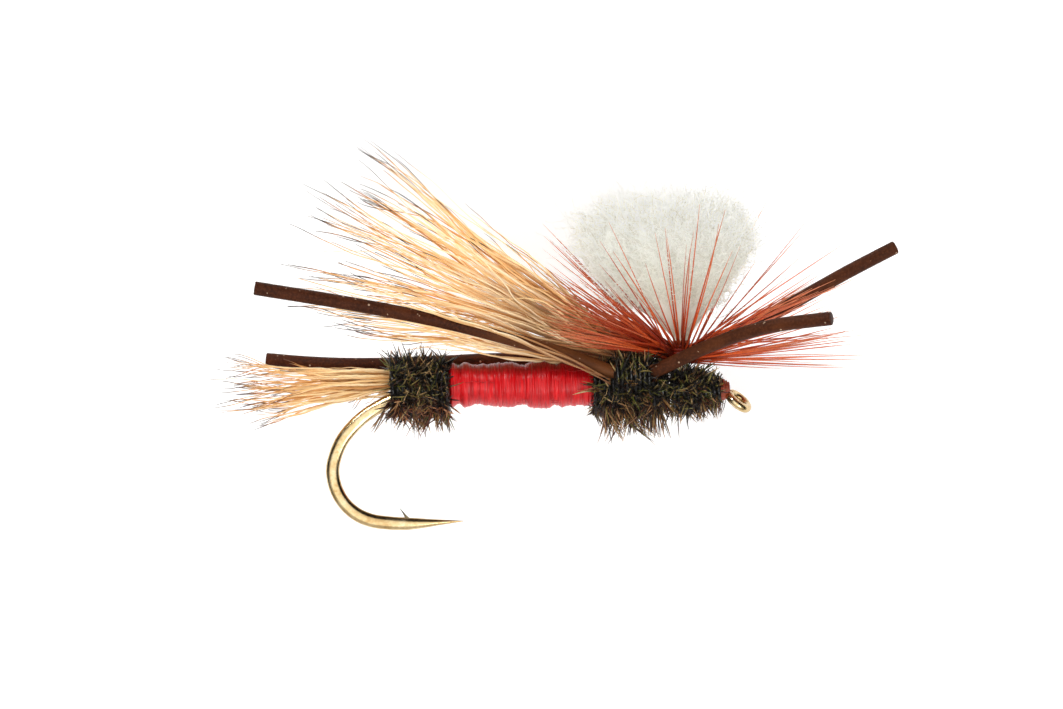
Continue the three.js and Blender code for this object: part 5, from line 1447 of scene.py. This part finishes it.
# the pale sheet the fly lies on: its near face is white, and it isn't seen from behind
back_y = max(cad_hi.y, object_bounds()[1].y) + 0.9 * MM
bpy.ops.mesh.primitive_grid_add(size=1, x_subdivisions=2, y_subdivisions=2)
sheet = bpy.context.active_object
sheet.name = "floor_sheet"
sheet.scale = (0.6, 0.6, 1)
sheet.rotation_euler = (math.radians(90), 0, 0)
sheet.location = (OX - 9.38 * MM, back_y, OZ + 1.67 * MM)
sm = Mat("pale_sheet", Roughness=0.9)
tn = sm.noise(sm.coords(60, 60, 60), 1.0, 3.0)
sm.set("Base Color", sm.ramp(tn, [(0.3, (0.90, 0.90, 0.90, 1)), (0.7, (0.93, 0.93, 0.93, 1))]))
sm.set("Specular IOR Level", 0.0)
sm.set("Emission Color", (1, 1, 1, 1))
# further out than the framed middle the sheet shows plain white to the camera, and lights the fly as before
where = sm.node("ShaderNodeTexCoord")
far_out = sm.node("ShaderNodeVectorMath")
far_out.operation = "LENGTH"
sm.link(where.outputs["Object"], far_out.inputs[0])
rim = sm.node("ShaderNodeMapRange")
for i, v in ((1, 0.058), (2, 0.1), (3, 0.0), (4, 0.8)):
    rim.inputs[i].default_value = v
sm.link(far_out.outputs["Value"], rim.inputs[0])
seen = sm.node("ShaderNodeLightPath")
glow = sm.node("ShaderNodeMath")
glow.operation = "MULTIPLY_ADD"
sm.link(seen.outputs["Is Camera Ray"], glow.inputs[0])
sm.link(rim.outputs[0], glow.inputs[1])
glow.inputs[2].default_value = 0.3
sm.link(glow.outputs[0], sm.bsdf.inputs["Emission Strength"])
geo = sm.node("ShaderNodeNewGeometry")
clear = sm.node("ShaderNodeBsdfTransparent")
mx = sm.node("ShaderNodeMixShader")
sm.link(geo.outputs["Backfacing"], mx.inputs[0])
sm.link(sm.bsdf.outputs[0], mx.inputs[1])
sm.link(clear.outputs[0], mx.inputs[2])
sm.link(mx.outputs[0], sm.out.inputs[0])
sheet.data.materials.append(sm.m)

world = bpy.data.worlds.new("studio")
sc.world = world
world.use_nodes = True
nt = world.node_tree
nt.nodes.clear()
out = nt.nodes.new("ShaderNodeOutputWorld")
bg = nt.nodes.new("ShaderNodeBackground")
bg2 = nt.nodes.new("ShaderNodeBackground")
lp = nt.nodes.new("ShaderNodeLightPath")
mixs = nt.nodes.new("ShaderNodeMixShader")
tc = nt.nodes.new("ShaderNodeTexCoord")
sep = nt.nodes.new("ShaderNodeSeparateXYZ")
nt.links.new(tc.outputs["Generated"], sep.inputs[0])
rampn = nt.nodes.new("ShaderNodeValToRGB")
m_y = nt.nodes.new("ShaderNodeMath")
m_y.operation = "MULTIPLY"
nt.links.new(sep.outputs["Y"], m_y.inputs[0])
m_y.inputs[1].default_value = -0.72
m_z = nt.nodes.new("ShaderNodeMath")
m_z.operation = "MULTIPLY_ADD"
nt.links.new(sep.outputs["Z"], m_z.inputs[0])
m_z.inputs[1].default_value = -0.6
nt.links.new(m_y.outputs[0], m_z.inputs[2])
mr = nt.nodes.new("ShaderNodeMapRange")
mr.inputs[1].default_value, mr.inputs[2].default_value = -1.0, 1.0
nt.links.new(m_z.outputs[0], mr.inputs[0])
e = rampn.color_ramp.elements
e[0].position, e[0].color = 0.0, (0.05, 0.05, 0.052, 1)
e[1].position, e[1].color = 1.0, (1.0, 1.0, 1.0, 1)
for pos, val in ((0.32, 0.015), (0.42, 0.012), (0.7, 0.02), (0.79, 0.5), (0.88, 0.95)):
    x = e.new(pos)
    x.color = (val, val, val, 1)
nt.links.new(mr.outputs[0], rampn.inputs[0])
nt.links.new(rampn.outputs[0], bg.inputs[0])
bg.inputs[1].default_value = 0.84
bg2.inputs[0].default_value = (1, 1, 1, 1)
bg2.inputs[1].default_value = 1.0
nt.links.new(lp.outputs["Is Camera Ray"], mixs.inputs[0])
nt.links.new(bg.outputs[0], mixs.inputs[1])
nt.links.new(bg2.outputs[0], mixs.inputs[2])
nt.links.new(mixs.outputs[0], out.inputs[0])


def area(name, loc, target, size, power, colour=(1, 1, 1)):
    l = bpy.data.lights.new(name, "AREA")
    l.shape, l.size, l.energy, l.color = "DISK", size, power, colour
    o = bpy.data.objects.new(name, l)
    o.location = loc
    o.rotation_mode = "QUATERNION"
    o.rotation_quaternion = (Vector(target) - Vector(loc)).to_track_quat("-Z", "Y")
    sc.collection.objects.link(o)
    return o


centre = Vector((OX - 9.38 * MM, 0, OZ + 1.67 * MM))
area("key", centre + Vector((-0.11, -0.19, 0.19)), centre, 0.06, 0.5)
area("fill", centre + Vector((0.1, -0.22, -0.12)), centre, 0.1, 0.2)
area("camera_side", centre + Vector((0.0, -0.45, -0.03)), centre, 0.5, 0.64)

cam = bpy.data.cameras.new("camera")
cam.sensor_width = 36
cam.lens = 320
co = bpy.data.objects.new("camera", cam)
width = 1063 * 0.045 * MM
dist = width * cam.lens / 36
co.location = centre + Vector((0, -dist, 0))
co.rotation_euler = (math.radians(90), 0, 0)
cam.clip_start, cam.clip_end = 0.01, 10
sc.collection.objects.link(co)
sc.camera = co

bpy.context.view_layer.update()
